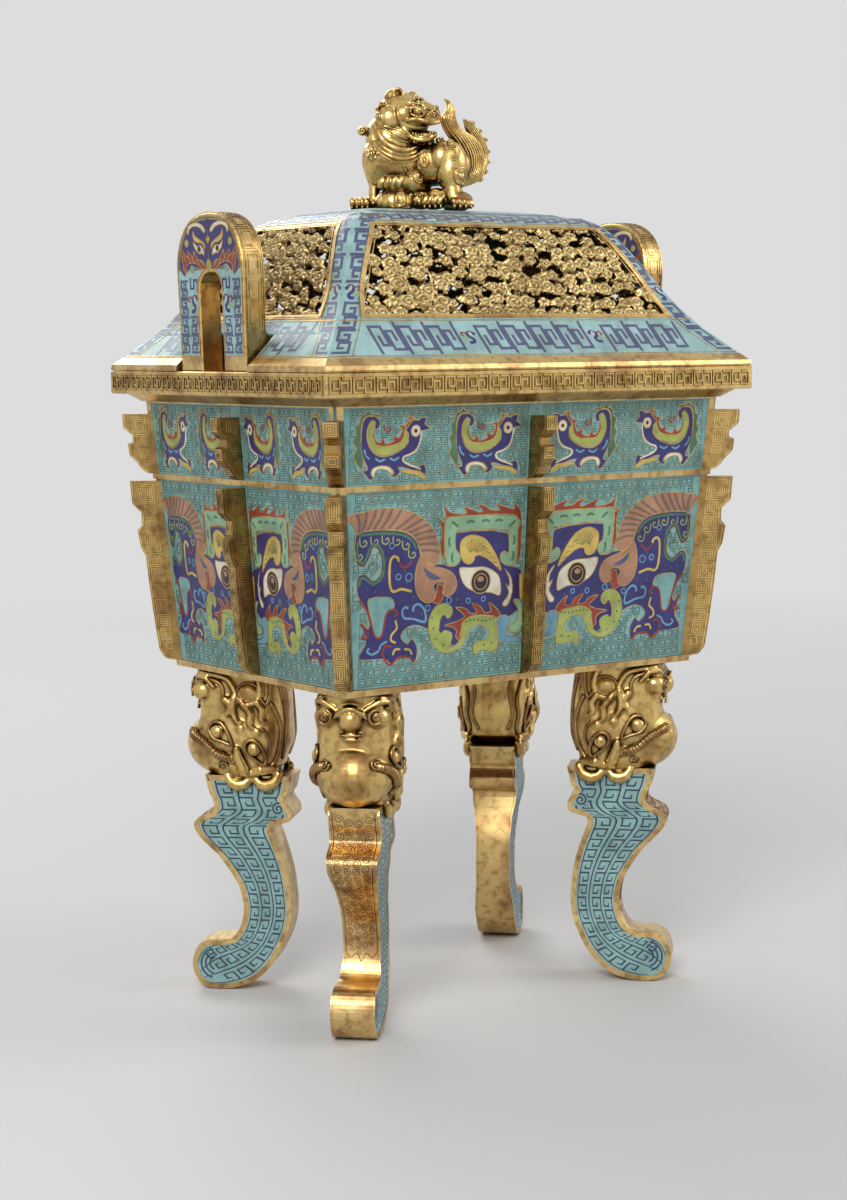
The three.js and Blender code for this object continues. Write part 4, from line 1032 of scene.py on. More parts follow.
def cover_skin():
    """The cover's shell: strips round the windows and notches, then thickness."""
    verts, faces = [], []

    def strip(lay, rows):
        for row in rows:
            base = len(verts)
            verts.extend(lay(u, t, 0) for u, t in row)
            if row is not rows[0]:
                faces.extend((base + i - 1, base + i, base + i - len(row), base + i - 1 - len(row))
                             for i in range(1, len(row)))

    stations = sorted(set(LENGTHS) | {WINDOW_START, WINDOW_END, NOTCH_TOP})
    for turn in range(4):
        for rows in face_strips(turn, stations):
            strip(face_lay(turn), rows)
    for sx in (-1, 1):
        for sy in (-1, 1):
            strip(corner_lay(sx, sy), [corner_row(t) for t in stations])
    top = [corner_lay(sx, sy)(q * corner_radius(200) * math.pi / 4, LENGTHS[-1], 0)
           for sx, sy, turn in ((1, 1, 1), (-1, 1, -1), (-1, -1, 1), (1, -1, -1))
           for q in [turn * k / 4 for k in range(-4, 5)]]
    base = len(verts)
    verts.extend(top)
    faces.append(tuple(range(base, base + len(top))))
    mesh = new_mesh("cover_skin", verts, faces, [PALE])
    work = bmesh.new()
    work.from_mesh(mesh)
    bmesh.ops.remove_doubles(work, verts=work.verts, dist=0.00003)
    bmesh.ops.recalc_face_normals(work, faces=work.faces)
    if max(work.faces, key=lambda f: f.calc_center_median().z).normal.z < 0:
        bmesh.ops.reverse_faces(work, faces=work.faces)
    work.to_mesh(mesh)
    work.free()
    thing = show("cover_skin", mesh)
    thicken(thing, SKIN, -1)
    settle(thing, "cover", ("cover_shell",))


def notch_walls():
    """The plain gilt walls of the notches in the skirt."""
    sheet = Sheet("cover_notches", None)
    for sx in (-1, 1):
        for sy in (-1, 1):
            sheet.lay = lambda x, z, h, sx=sx, sy=sy: Vector((sx * x, sy * (NOTCH_HALF + h), z)) * MM
            steps = [t for t in LENGTHS if 1 < t < NOTCH_TOP] + [NOTCH_TOP]
            curve = [(RIM[0] - profile_at(t)[0] - 0.4, COVER_FOOT + profile_at(t)[1] - 0.4) for t in steps]
            sheet.fill([(NOTCH_X, COVER_FOOT), (curve[0][0], COVER_FOOT)] + curve, 0, 2.5, POLISHED)
        sheet.lay = lambda y, z, h, sx=sx: Vector((sx * (NOTCH_X - h), y, z)) * MM
        roof = COVER_FOOT + profile_at(NOTCH_TOP)[1] - 0.6
        reach = NOTCH_HALF + 2
        sheet.fill([(-reach, COVER_FOOT), (reach, COVER_FOOT), (reach, roof), (-reach, roof)], 0, 3,
                   POLISHED)
    sheet.done("cover", "gilt")


HOOKS = [points("0.05,0 0.05,0.85 0.45,0.85 0.45,0.28 0.23,0.28 0.23,0.58"),
         points("0.95,1 0.95,0.15 0.55,0.15 0.55,0.72 0.77,0.72 0.77,0.42")]


def hooks(sheet, u0, u1, t0, t1, pitch, width, upright=False, flip=1):
    """A row of interlocked hooks; upright rows climb the profile."""
    start, end = (t0, t1) if upright else (u0, u1)
    count = max(1, round((end - start) / pitch))
    unit = (end - start) / count
    for k in range(count):
        for hook in HOOKS:
            path = []
            for a, b in hook:
                along, rise = start + (k + a) * unit, b if flip > 0 else 1 - b
                path.append((u0 + rise * (u1 - u0), along) if upright else (along, t0 + rise * (t1 - t0)))
            sheet.wire(finer(path, 3.0), width + 1.0, COVER_ROOT, 0.1, CREAM_WIRE)
            sheet.wire(finer(path, 3.0), width, COVER_ROOT, 0.18, LINE_BLUE)


KUI_BODY = smooth(points("-1.1,0.5 -0.5,0.95 0.1,0.7 0.05,0.1 -0.45,-0.3 -0.2,-0.85 0.5,-0.9"), False, 3)
KUI_SNOUT = smooth(points("0.2,0.6 0.75,0.9 1.1,0.5 0.75,0.25"), False, 3)
KUI_FOOT = smooth(points("0.1,-0.2 0.6,-0.15 1.0,-0.5"), False, 3)


def kui(sheet, u, t, size, side):
    """A small one-footed dragon in the fret."""
    def put(path):
        return [(u + side * x * size, t + y * size) for x, y in path]
    sheet.fill(put(circle(0, 0, 1.35)), COVER_ROOT, 0.2, PALE)
    sheet.wire(put(KUI_BODY), 0.5 * size, COVER_ROOT, 0.3, LAPIS)
    sheet.wire(put(KUI_SNOUT), 0.26 * size, COVER_ROOT, 0.36, RED)
    sheet.wire(put(KUI_FOOT), 0.26 * size, COVER_ROOT, 0.36, LIME)
    sheet.fill(put(circle(-0.35, 0.72, 0.26, 1, 8)), COVER_ROOT, 0.42, CREAM)
    sheet.fill(put(circle(-0.35, 0.72, 0.12, 1, 6)), COVER_ROOT, 0.5, BLACK)


SKIRT_LOW, SKIRT_HIGH = 3.0, WINDOW_START - 3.5
CREST_LOW, CREST_HIGH = WINDOW_END + 3.0, LENGTHS[-1] - 30
FRET_PITCH, FRET_WIDTH = 26, 3.0


def skirt_fret(sheet, turn):
    """The fret below a face's window, with dragons at the front or a notch at the end."""
    reach = RIM[turn % 2] - profile_at(SKIRT_HIGH)[0] - 26
    if turn % 2:
        for side in (-1, 1):
            a, b = sorted((side * (NOTCH_HALF + 4), side * reach))
            hooks(sheet, a, b, SKIRT_LOW, SKIRT_HIGH, FRET_PITCH, FRET_WIDTH)
        hooks(sheet, -NOTCH_HALF, NOTCH_HALF, NOTCH_TOP + 2.5, SKIRT_HIGH, 18, 2.3)
        return
    for a, b in ((-reach, -78), (-58, 58), (78, reach)):
        hooks(sheet, a, b, SKIRT_LOW, SKIRT_HIGH, FRET_PITCH, FRET_WIDTH)
    for side in (-1, 1):
        kui(sheet, side * 68, (SKIRT_LOW + SKIRT_HIGH) / 2, 6.5, side)


def face_fret(turn, name):
    """The frets and border wires of one face of the cover."""
    sheet = Sheet("cover_fret_" + name, face_lay(turn))
    window_top = window_of(turn)[1]
    skirt_fret(sheet, turn)
    top = window_top - 2
    hooks(sheet, -top, top, CREST_LOW, CREST_LOW + 17, 24, 2.7, False, -1)
    hooks(sheet, -top + 20, top - 20, CREST_LOW + 20, CREST_HIGH, 24, 2.7)
    for t in (1.2, SKIRT_HIGH + 1.5, CREST_LOW - 0.8):
        half = RIM[turn % 2] - profile_at(t)[0] - 1.5
        spans = [(-half, half)]
        if turn % 2 and t <= NOTCH_TOP:
            spans = [(-half, -NOTCH_HALF - 1), (NOTCH_HALF + 1, half)]
        if t > WINDOW_END:
            spans = [(-window_top - 3, window_top + 3)]
        for a, b in spans:
            sheet.wire(finer([(a, t), (b, t)], 12), 1.0, COVER_ROOT, 0.35, WIRE)
    sheet.done("cover", "cover_enamel")


def corner_fret(place, sx, sy):
    """The upright frets on both sides of one corner of the cover."""
    sheet = Sheet("cover_fret_" + place, corner_lay(sx, sy))
    end, middle = length_where(1, 118), length_where(1, 52)
    for flip in (-1, 1):
        a, b = (1.8, 20.5) if flip > 0 else (-20.5, -1.8)
        hooks(sheet, a, b, 4, middle - 9, 25, 2.9, True, flip)
        hooks(sheet, a, b, middle + 9, end, 25, 2.9, True, flip)
        kui(sheet, flip * 9, middle, 6.2, flip)
        sheet.wire(finer([(flip * 23, 1.5), (flip * 23, end + 4)], 4), 1.0, COVER_ROOT, 0.35, WIRE)
    sheet.done("cover", "cover_enamel")


# Openwork: lobed clouds and bats on a web, cut through where nothing lies

CLOUD_ROW = 12.4
CLOUD_SWIRL = 4.6
OPENWORK_GRAIN = 0.95
FRONT_BATS = ((-0.62, 0.42, 13), (0.06, 0.36, 14), (0.68, 0.5, 12))
SIDE_BATS = ((0.1, 0.45, 12),)


def cloud_plan(turn, seed):
    """The clouds of a panel, and the wings of its bats."""
    draw = random.Random(seed)
    clouds, wings = [], []
    row, t = 0, WINDOW_START + 6.5
    while t < WINDOW_END - 2:
        reach = window_half(turn, t)
        u = -reach + 8 + (row % 2) * 8
        while u < reach - 3:
            clouds.append((u + draw.uniform(-3.0, 3.0), t + draw.uniform(-3.2, 3.2), draw.uniform(6.0, 10.0),
                           draw.uniform(0, 6.28), draw.uniform(0, 1.2), draw.choice((-1, 1))))
            u += draw.uniform(13.0, 17.5)
        t += CLOUD_ROW
        row += 1
    for share, rise, size in SIDE_BATS if turn % 2 else FRONT_BATS:
        bt = WINDOW_START + rise * (WINDOW_END - WINDOW_START)
        bu = share * window_half(turn, bt)
        for side in (-1, 1):
            wings.append(smooth([(bu, bt + size * 0.55), (bu + side * size * 0.55, bt + size * 0.75),
                                 (bu + side * size, bt + size * 0.1),
                                 (bu + side * size * 0.85, bt - size * 0.75)], False, 5))
        clouds.append((bu, bt + 1, size * 0.55, 1.2, 2.4, 1))
        clouds.append((bu, bt + size * 0.6, size * 0.3, 0.4, 3.0, 1))
    return clouds, wings


def cloud_height(u, t, half, clouds, wings):
    """Height of the openwork's face at a place, or None where it is open."""
    best, web = None, 9.0
    for cx, cy, radius, phase, lift, hand in clouds:
        dx, dy = u - cx, (t - cy) * 1.3
        if abs(dx) > 14 or abs(dy) > 14:
            continue
        d = math.hypot(dx, dy)
        angle = math.atan2(dy, dx)
        lobe = abs(math.cos(2.5 * angle + phase))
        edge = radius * (0.84 + 0.2 * lobe)
        f = d / edge
        web = min(web, f)
        if d < edge:
            coil = math.cos(2 * math.pi * d / CLOUD_SWIRL - hand * angle - phase)
            height = 1.6 + lift + 1.3 * (1 - f ** 6) + 0.62 * coil * (1 - f ** 8) + 0.4 * lobe * f
            best = height if best is None else max(best, height)
    if best is None and web < 1.2 + 0.16 * math.sin(0.21 * u + 0.4 * t):
        best = 0.5
    for wing in wings:
        if min(abs(u - wing[0][0]), abs(u - wing[-1][0])) > 18:
            continue
        d = min(math.hypot(u - x, t - y) for x, y in wing)
        if d < 1.9:
            height = 5.0 - 0.8 * d ** 2
            best = height if best is None else max(best, height)
    edge = min(t - WINDOW_START, WINDOW_END - t, half - abs(u))
    if edge < 4.6:
        best = 0.4 if best is None or edge < 3.8 else max(best, 0.4)
    return best


def window_frame(turn, name, lay):
    """The plain gilt frame of a window, with its raised outer wire."""
    sheet = Sheet(name, lay)
    tall = WINDOW_END - WINDOW_START
    steps = [WINDOW_START + 2.1 + (tall - 4.2) * k / 24 for k in range(25)]
    right = [(window_half(turn, t) - 2.3, t) for t in steps]
    loop = right + [(-u, t) for u, t in reversed(right)]
    outer = [(u + math.copysign(2.2, u), t) for u, t in loop]
    sheet.wire(finer(loop, 8, True), 4.0, -3, 0.5, POLISHED, True)
    sheet.wire(finer(outer, 8, True), 0.9, -3, 0.9, POLISHED, True)
    sheet.done("cover", "gilt")


def openwork(turn, place):
    """A pierced panel of curled clouds and bats in a plain frame."""
    name, lay = "openwork_" + place, face_lay(turn)
    clouds, wings = cloud_plan(turn, 11 + turn)
    tall = WINDOW_END - WINDOW_START
    rows = int(tall / OPENWORK_GRAIN)
    columns = int(2 * window_half(turn, WINDOW_START) / OPENWORK_GRAIN)
    verts, faces, numbers = [], [], {}
    for j in range(rows + 1):
        t = WINDOW_START + tall * j / rows
        half = window_half(turn, t)
        reach = half - 0.3
        for i in range(columns + 1):
            u = -reach + 2 * reach * i / columns
            height = cloud_height(u, t, half, clouds, wings)
            if height is not None:
                numbers[(i, j)] = len(verts)
                verts.append(lay(u, t, height - 3.6))
    for (i, j), a in numbers.items():
        square = [numbers.get((i + 1, j)), numbers.get((i + 1, j + 1)), numbers.get((i, j + 1))]
        if None not in square:
            faces.append((a, *square))
    mesh = new_mesh(name + "_clouds", verts, faces, [CLOUD_GILT])
    face_out(mesh)
    thing = show(name + "_clouds", mesh)
    middle = (WINDOW_START + WINDOW_END) / 2
    outward = lay(0, middle, 10) - lay(0, middle, 0)
    lean = sum(p.normal.dot(outward) for p in mesh.polygons)
    thicken(thing, 2.2, -1 if lean > 0 else 1)
    settle(thing, "cover", (name,))
    window_frame(turn, name + "_clouds_frame", lay)


cover_skin()
notch_walls()
for turn, place in enumerate(FACES):
    face_fret(turn, place)
for place, (sx, sy) in CORNERS.items():
    corner_fret(place, sx, sy)
for turn, place in enumerate(FACES):
    openwork(turn, place)


# Handles: leaning loops, enamelled on both faces and fretted round the edge

HANDLE_FOOT = 556.1
HANDLE_X = 214.25
HANDLE_HALF = 10.25
LEAN = math.tan(math.radians(1.7))
ENAMEL_FOOT = 12.6


def bezier(a, b, c, d, steps):
    """Points on a curve led by four points."""
    result = []
    for k in range(steps + 1):
        t = k / steps
        shares = ((1 - t) ** 3, 3 * t * (1 - t) ** 2, 3 * t * t * (1 - t), t ** 3)
        result.append(tuple(sum(w * p[n] for w, p in zip(shares, (a, b, c, d))) for n in (0, 1)))
    return result


def prism(outline, lay, low, high, bevel):
    """Vertices and faces of a flat shape with thickness and softened edges."""
    inner = inset(outline, bevel)
    verts, faces, count = [], [], len(outline)
    for path, height in ((inner, low), (outline, low + bevel), (outline, high - bevel), (inner, high)):
        verts += [lay(x, y, height) for x, y in path]
    for base in (0, count, 2 * count):
        for i in range(count):
            j = (i + 1) % count
            faces.append((base + i, base + j, base + count + j, base + count + i))
    for a, b, c in tessellate_polygon([[Vector((x, y, 0)) for x, y in inner]]):
        faces += [(a, b, c), (3 * count + c, 3 * count + b, 3 * count + a)]
    return verts, faces


HANDLE_ARCH = ([(-51.5, 0)] + bezier((-53, 84), (-53, 113.1), (-32.9, 131), (0, 131), 14)
               + bezier((0, 131), (32.9, 131), (53, 113.1), (53, 84), 14)[1:] + [(51.5, 0)])
HANDLE_SLOT = [(17.4, 0)] + arc(3.4, 68, 14, 0, 90, 8) + arc(-3.4, 68, 14, 90, 180, 8) + [(-17.4, 0)]
HANDLE_ART = [
    ("0,126 15,124.8 28,120.6 38,113 44.6,102 47.4,90 46,84 40,79 28,88 12,84 0,85", LAPIS, 1),
    ("3.8,115.7 7.5,120.5 17.8,123.3 29,121.9 33,117.1 31,113.8 29,118 21.6,120.5 12.2,119 6.6,115.2",
     CREAM, 3),
    ("4.7,101 5.6,105.7 14,109.5 20.6,112.4 23.5,116.7 23.5,110.5 17.8,107.1 10.3,106.2 6.6,102.9", YELLOW,
     3),
    ("6.6,96.2 7.5,101 12.2,104.3 17.8,103.8 23.5,107.6 21.6,102.9 16,98 10.3,97.6", CREAM, 3),
    ("2.8,84.8 10.3,91.4 17.8,93.3 23.5,100 25.3,95.2 32.8,100 34.7,95.2 45,102.9 43,93.3 40.3,83.8"
     " 36.6,81.9 36.6,87.6 "
     "29,90.5 19.7,89.5 10.3,84.8", RED, 2),
    ("0,84.5 3,86 3.2,90 0,93.5", LIME, 4),
    ("0,112.8 3.2,109 0,105.2", YELLOW, 3),
]


def handle_face(sheet, side):
    """The beast mask, frets and dragon on half of a handle's face."""
    half = Half(sheet, side, 1.0)
    for text, material, step in HANDLE_ART:
        path = points(text)
        half.cell(smooth(path, True, 3) if step > 1 and len(path) > 4 else path, material, step)
    half.cell(circle(34.7, 106.7, 3, 1, 10), LIME, 3)
    half.cell(circle(27, 85, 3.4, 0.85, 10), SKY, 3)
    half.cell(circle(14.5, 101.4, 2.6, 1, 12), BLACK, 5)
    for k in range(5):
        x = 9 + k * 7
        flame = [(x, 87.5 + k), (x + 2.5, 91 + k * 1.3), (x + 5, 90.5 + k * 1.4)]
        half.line(smooth(flame, False, 3), 0.6, YELLOW, 5)
    inner, outer = sorted((side * 20.5, side * 34.0))
    hooks(sheet, inner, outer, 15, 46, 15.5, 1.7, True, side)
    inner, outer = sorted((side * 35.6, side * 48.5))
    hooks(sheet, inner, outer, 15, 76, 15.3, 1.7, True, -side)
    kui(sheet, side * 27.5, 56, 6.6, side)
    half.line(points("20.5,66 20.5,76 26,76 26,69 31,69 31,78"), 1.8, LAPIS, 3)


def handle_fret(name, spot):
    """The row of square spirals round the outer edge of a handle."""
    arch = finer(HANDLE_ARCH, 3)
    marks = lengths_of(arch)
    total = marks[-1]

    def edge(s, w, h):
        i, f = between(marks, s)
        (ax, ay), (bx, by) = arch[i], arch[i + 1]
        size = math.dist(arch[i], arch[i + 1])
        return spot(ax + (bx - ax) * f - (by - ay) / size * h, ay + (by - ay) * f + (bx - ax) / size * h, w)
    fret = Sheet(name, edge)
    units = round((total - 26) / 21)
    for k in range(units):
        start = 13 + k * (total - 26) / units
        end = start + (total - 26) / units
        fret.wire(finer(spiral(start + 1.2, -7.2, end - 1.2, 7.2, 2, 2.7), 5), 1.0, GILT_ROOT, 0.6, GILT)
    for w in (-9.0, 9.0):
        fret.wire(finer([(12, w), (total - 12, w)], 5), 1.0, GILT_ROOT, 0.6, GILT)
    fret.done("vessel", "gilt")


def handle(name, sign):
    """One handle with the enamel of its two faces and the fret of its edge."""
    def spot(u, v, h):
        return Vector((sign * (HANDLE_X + h + LEAN * v), u, HANDLE_FOOT + v)) * MM
    outline = finer(HANDLE_ARCH, 8) + finer(HANDLE_SLOT, 8)
    verts, faces = prism(outline, spot, -HANDLE_HALF, HANDLE_HALF, 1.0)
    piece(name + "_cast", verts, faces, [POLISHED], "vessel", (name,))
    sheet = Sheet(name + "_enamel", None)
    face = [(u, max(v, ENAMEL_FOOT)) for u, v in sides_of(HANDLE_ARCH + HANDLE_SLOT, 2.6, True)[1]]
    cap = [(u, v) for u, v in sides_of(HANDLE_ARCH, 3.4, False)[1] if v > 82]
    for facing in (-1, 1):
        sheet.lay = lambda u, v, h, facing=facing: spot(u, v, facing * (HANDLE_HALF + h))
        sheet.fill(face, GILT_ROOT, 0.1, PALE)
        sheet.wire(face, 0.9, GILT_ROOT, 0.5, WIRE, True)
        sheet.fill(cap, COVER_ROOT, 0.13, OLIVE)
        for side in (-1, 1):
            handle_face(sheet, side)
    handle_fret(name + "_fret", spot)
    sheet.done("vessel", "body_enamel")


handle("handle_left", -1)
handle("handle_right", 1)


# Feet: scrolled, with gilt borders, enamelled sides and an engraved front

def settle_down(path):
    """The outline lowered at the toe, so that its sole lies on the floor."""
    return [(u, z - 3 * max(0, 1 - z / 45)) for u, z in path]


FOOT_FRONT = settle_down(smooth(points(
    "-27.5,196 -29.6,186.5 -31.5,180 -34,175 -35.4,170 -35.2,165.5 -31,161.8 -22,157.6 -17.7,154"
    " -16.4,150 -18,145 -22,139 -29.6,130.6 -39,121 -46,111 -52,101.5 -56,94 -58.5,84 -59.8,74 -58.6,64"
    " -55.5,55 -50,47.8 -40,45.5 -28,45 -18,40 -13.5,31 -12.3,22.5 -14.5,14.5"), False, 3))
FOOT_BACK = settle_down(smooth(points(
    "-106.5,196 -104,186 -102.8,180.4 -99.8,175.5 -101.5,171 -105.3,166 -106.4,161 -105.5,157 -101,154"
    " -89.5,151 -88,146 -90,139.5 -93.3,130.6 -96.6,121 -99.5,111 -101.6,101.5 -102.6,93 -103.6,83"
    " -104,74 -103,63 -100.5,53 -94.5,39 -85,24.5 -70,11 -52,4.5 -37,3.2 -26,4.6 -19.5,7.5"), False, 3))
FOOT_HALVES = points("0,18.2 36,18.2 48,17 62,15.6 105,15.6 122,17 145,20.4 158,21.4 300,21.4")
BORDER = 5.2
MIDLINE = [((fu + bu) / 2, (fz + bz) / 2) for (fu, fz), (bu, bz) in zip(FOOT_FRONT, FOOT_BACK)]
FOOT_MARKS = lengths_of(MIDLINE)
FRONT_MARKS = lengths_of(FOOT_FRONT)
HEEL, TOE = (-94, 166.5), (-34, 23.5)
KEY_HOOK = points("0,0 0.7,0 0.7,0.66 0.3,0.66 0.3,0.36")


def foot_half(z):
    """Half width of a foot at a height."""
    for (z0, h0), (z1, h1) in zip(FOOT_HALVES, FOOT_HALVES[1:]):
        if z < z1:
            t = max(0, (z - z0) / (z1 - z0))
            return h0 + (h1 - h0) * t * t * (3 - 2 * t)
    return FOOT_HALVES[-1][1]


def stand(sx, sy):
    """The place of a leg: outwards on the diagonal, across and up, from the body's corner."""
    out = Vector((sx, sy, 0)).normalized()
    across = Vector((-out.y, out.x, 0))
    corner = Vector((sx * BASE[1], sy * BASE[2], 0))
    return lambda u, v, z: (corner + out * u + across * v + Vector((0, 0, z))) * MM


def foot_body(name, at, node):
    """The cast body of a foot."""
    verts, faces, rows = [], [], len(FOOT_FRONT)
    shares = (0.0, 0.03, 0.2, 0.4, 0.6, 0.8, 0.97, 1.0)
    ring = [(s, 1) for s in shares] + [(s, -1) for s in reversed(shares)]
    for front, back in zip(FOOT_FRONT, FOOT_BACK):
        for s, side in ring:
            u, z = front[0] + (back[0] - front[0]) * s, front[1] + (back[1] - front[1]) * s
            soft = 1.3 if s in (0.0, 1.0) else 0
            verts.append(at(u, side * (foot_half(z) - 0.3 - soft), z))
    count = len(ring)
    for i in range(rows - 1):
        for k in range(count):
            m = (k + 1) % count
            a = i * count
            faces.append((a + k, a + m, a + count + m, a + count + k))
    faces += [tuple(range(count)), tuple(range((rows - 1) * count, rows * count))]
    piece(name, verts, faces, [POLISHED], "vessel", (node,))


def curl(x, y, radius, turns, start, hand=1, least=0.8):
    """A spiral line round a point."""
    steps = int(turns * 12)
    return [(x + (radius - (radius - least) * k / steps) * math.cos(start + hand * k * math.pi / 6),
             y + (radius - (radius - least) * k / steps) * math.sin(start + hand * k * math.pi / 6))
            for k in range(steps + 1)]


def foot_side(sheet, at, side):
    """Enamel, border lines and frets on one side of a foot."""
    total = FOOT_MARKS[-1]

    def strip(u, t, h):
        i, f = between(FOOT_MARKS, t)
        (fu, fz), (bu, bz) = [(p[i][0] + (p[i + 1][0] - p[i][0]) * f, p[i][1] + (p[i + 1][1] - p[i][1]) * f)
                              for p in (FOOT_FRONT, FOOT_BACK)]
        width = math.dist((fu, fz), (bu, bz))
        s = 0.5 + u / 60 * (1 - 2 * min(BORDER, width * 0.3) / width)
        u, z = fu + (bu - fu) * s, fz + (bz - fz) * s
        return at(u, side * (foot_half(z) + h), z)
    sheet.lay = strip
    sheet.patch(-30.5, 30.5, 1, total - 1, 8, 96, PLATE_ROOT, 0.05, LEG_TURQUOISE)
    for edge, width, material in ((28.9, 1.2, CREAM_WIRE), (27.2, 1.5, LEG_LINE), (9.2, 1.8, LEG_LINE)):
        for u in (-edge, edge):
            sheet.wire(finer([(u, 3), (u, total - 6)], 3), width, WALL_ROOT, 0.16, material)
    count = round((total - 26) / 12)
    pitch = (total - 26) / count
    for low, high, flip in ((-27, -9.2, 1), (-9.2, 9.2, 1), (9.2, 27, -1)):
        start = low if flip > 0 else high
        for k in range(count):
            hook = [(start + flip * a * (high - low), 8 + k * pitch + b * pitch) for a, b in KEY_HOOK]
            sheet.wire(finer(hook, 2.5), 1.6, WALL_ROOT, 0.16, LEG_LINE)
    sheet.lay = lambda u, z, h: at(u, side * (foot_half(z) + h), z)
    sheet.fill(circle(*HEEL, 6.6, 1, 18), WALL_ROOT, 0.2, LEG_TURQUOISE)
    sheet.wire(curl(*HEEL, 6.0, 1.7, 2.6, -1), 1.6, WALL_ROOT, 0.3, LEG_LINE)
    for radius in (13.5, 9.5, 5.5):
        sheet.wire(arc(*TOE, radius, -75, 80, 12), 1.5, WALL_ROOT, 0.26, LEG_LINE)


def foot_front(border, at):
    """Engraved scrolls down the front of a foot."""
    def front(v, t, h):
        i, f = between(FRONT_MARKS, t)
        (ax, ay), (bx, by) = FOOT_FRONT[i], FOOT_FRONT[i + 1]
        size = math.dist(FOOT_FRONT[i], FOOT_FRONT[i + 1])
        u, z = ax + (bx - ax) * f + (ay - by) / size * h, ay + (by - ay) * f + (bx - ax) / size * h
        return at(u, v * foot_half(z) / 20, z)

    def engrave(path, width):
        border.wire(path, width, COVER_ROOT, 0.14, COPPER)
    border.lay = front
    end = next(FRONT_MARKS[i] for i, (u, z) in enumerate(FOOT_FRONT) if z < 70)
    for v in (-17, 17):
        engrave(finer([(v, 4), (v, end)], 4), 0.9)
    crest = [(-17, 0), (-12, 5), (-5, 1.5), (0, 8), (5, 1.5), (12, 5), (17, 0)]
    engrave(smooth([(v, end + rise) for v, rise in crest], False, 4), 0.9)
    t, k = 10, 0
    while t < end - 4:
        for v, hand in ((-12, 1), (-4, -1), (4, 1), (12, -1)):
            rise = 3.6 if abs(v) == 4 else 0
            engrave(curl(v, t + rise, 4.1, 1.7, k * 1.3 + v, hand * (1 if k % 2 else -1)), 0.7)
        t += 8.4
        k += 1


def foot_enamel(name, at, plates):
    """Borders, enamel and frets on the two sides of a foot, and scrolls down its front."""
    sheet = Sheet(name + "_enamel", None)
    border = Sheet(name + "_border", None)
    rim = inset(FOOT_FRONT + FOOT_BACK[::-1], 2.5)
    for side in (-1, 1):
        foot_side(sheet, at, side)
        border.lay = sheet.lay
        border.wire(rim, 4.6, PLATE_ROOT, 0.45, POLISHED, True)
    foot_front(border, at)
    border.done("vessel", "gilt")
    sheet.done("vessel", "leg_enamel", *plates)


for place, (sx, sy) in CORNERS.items():
    foot_body("foot_" + place + "_cast", stand(sx, sy), "leg_foot_" + place)
    foot_enamel("foot_" + place, stand(sx, sy), [f"leg_{place}_near_plate", f"leg_{place}_far_plate"])


# Castings: rounded forms gathered and fused into one skin

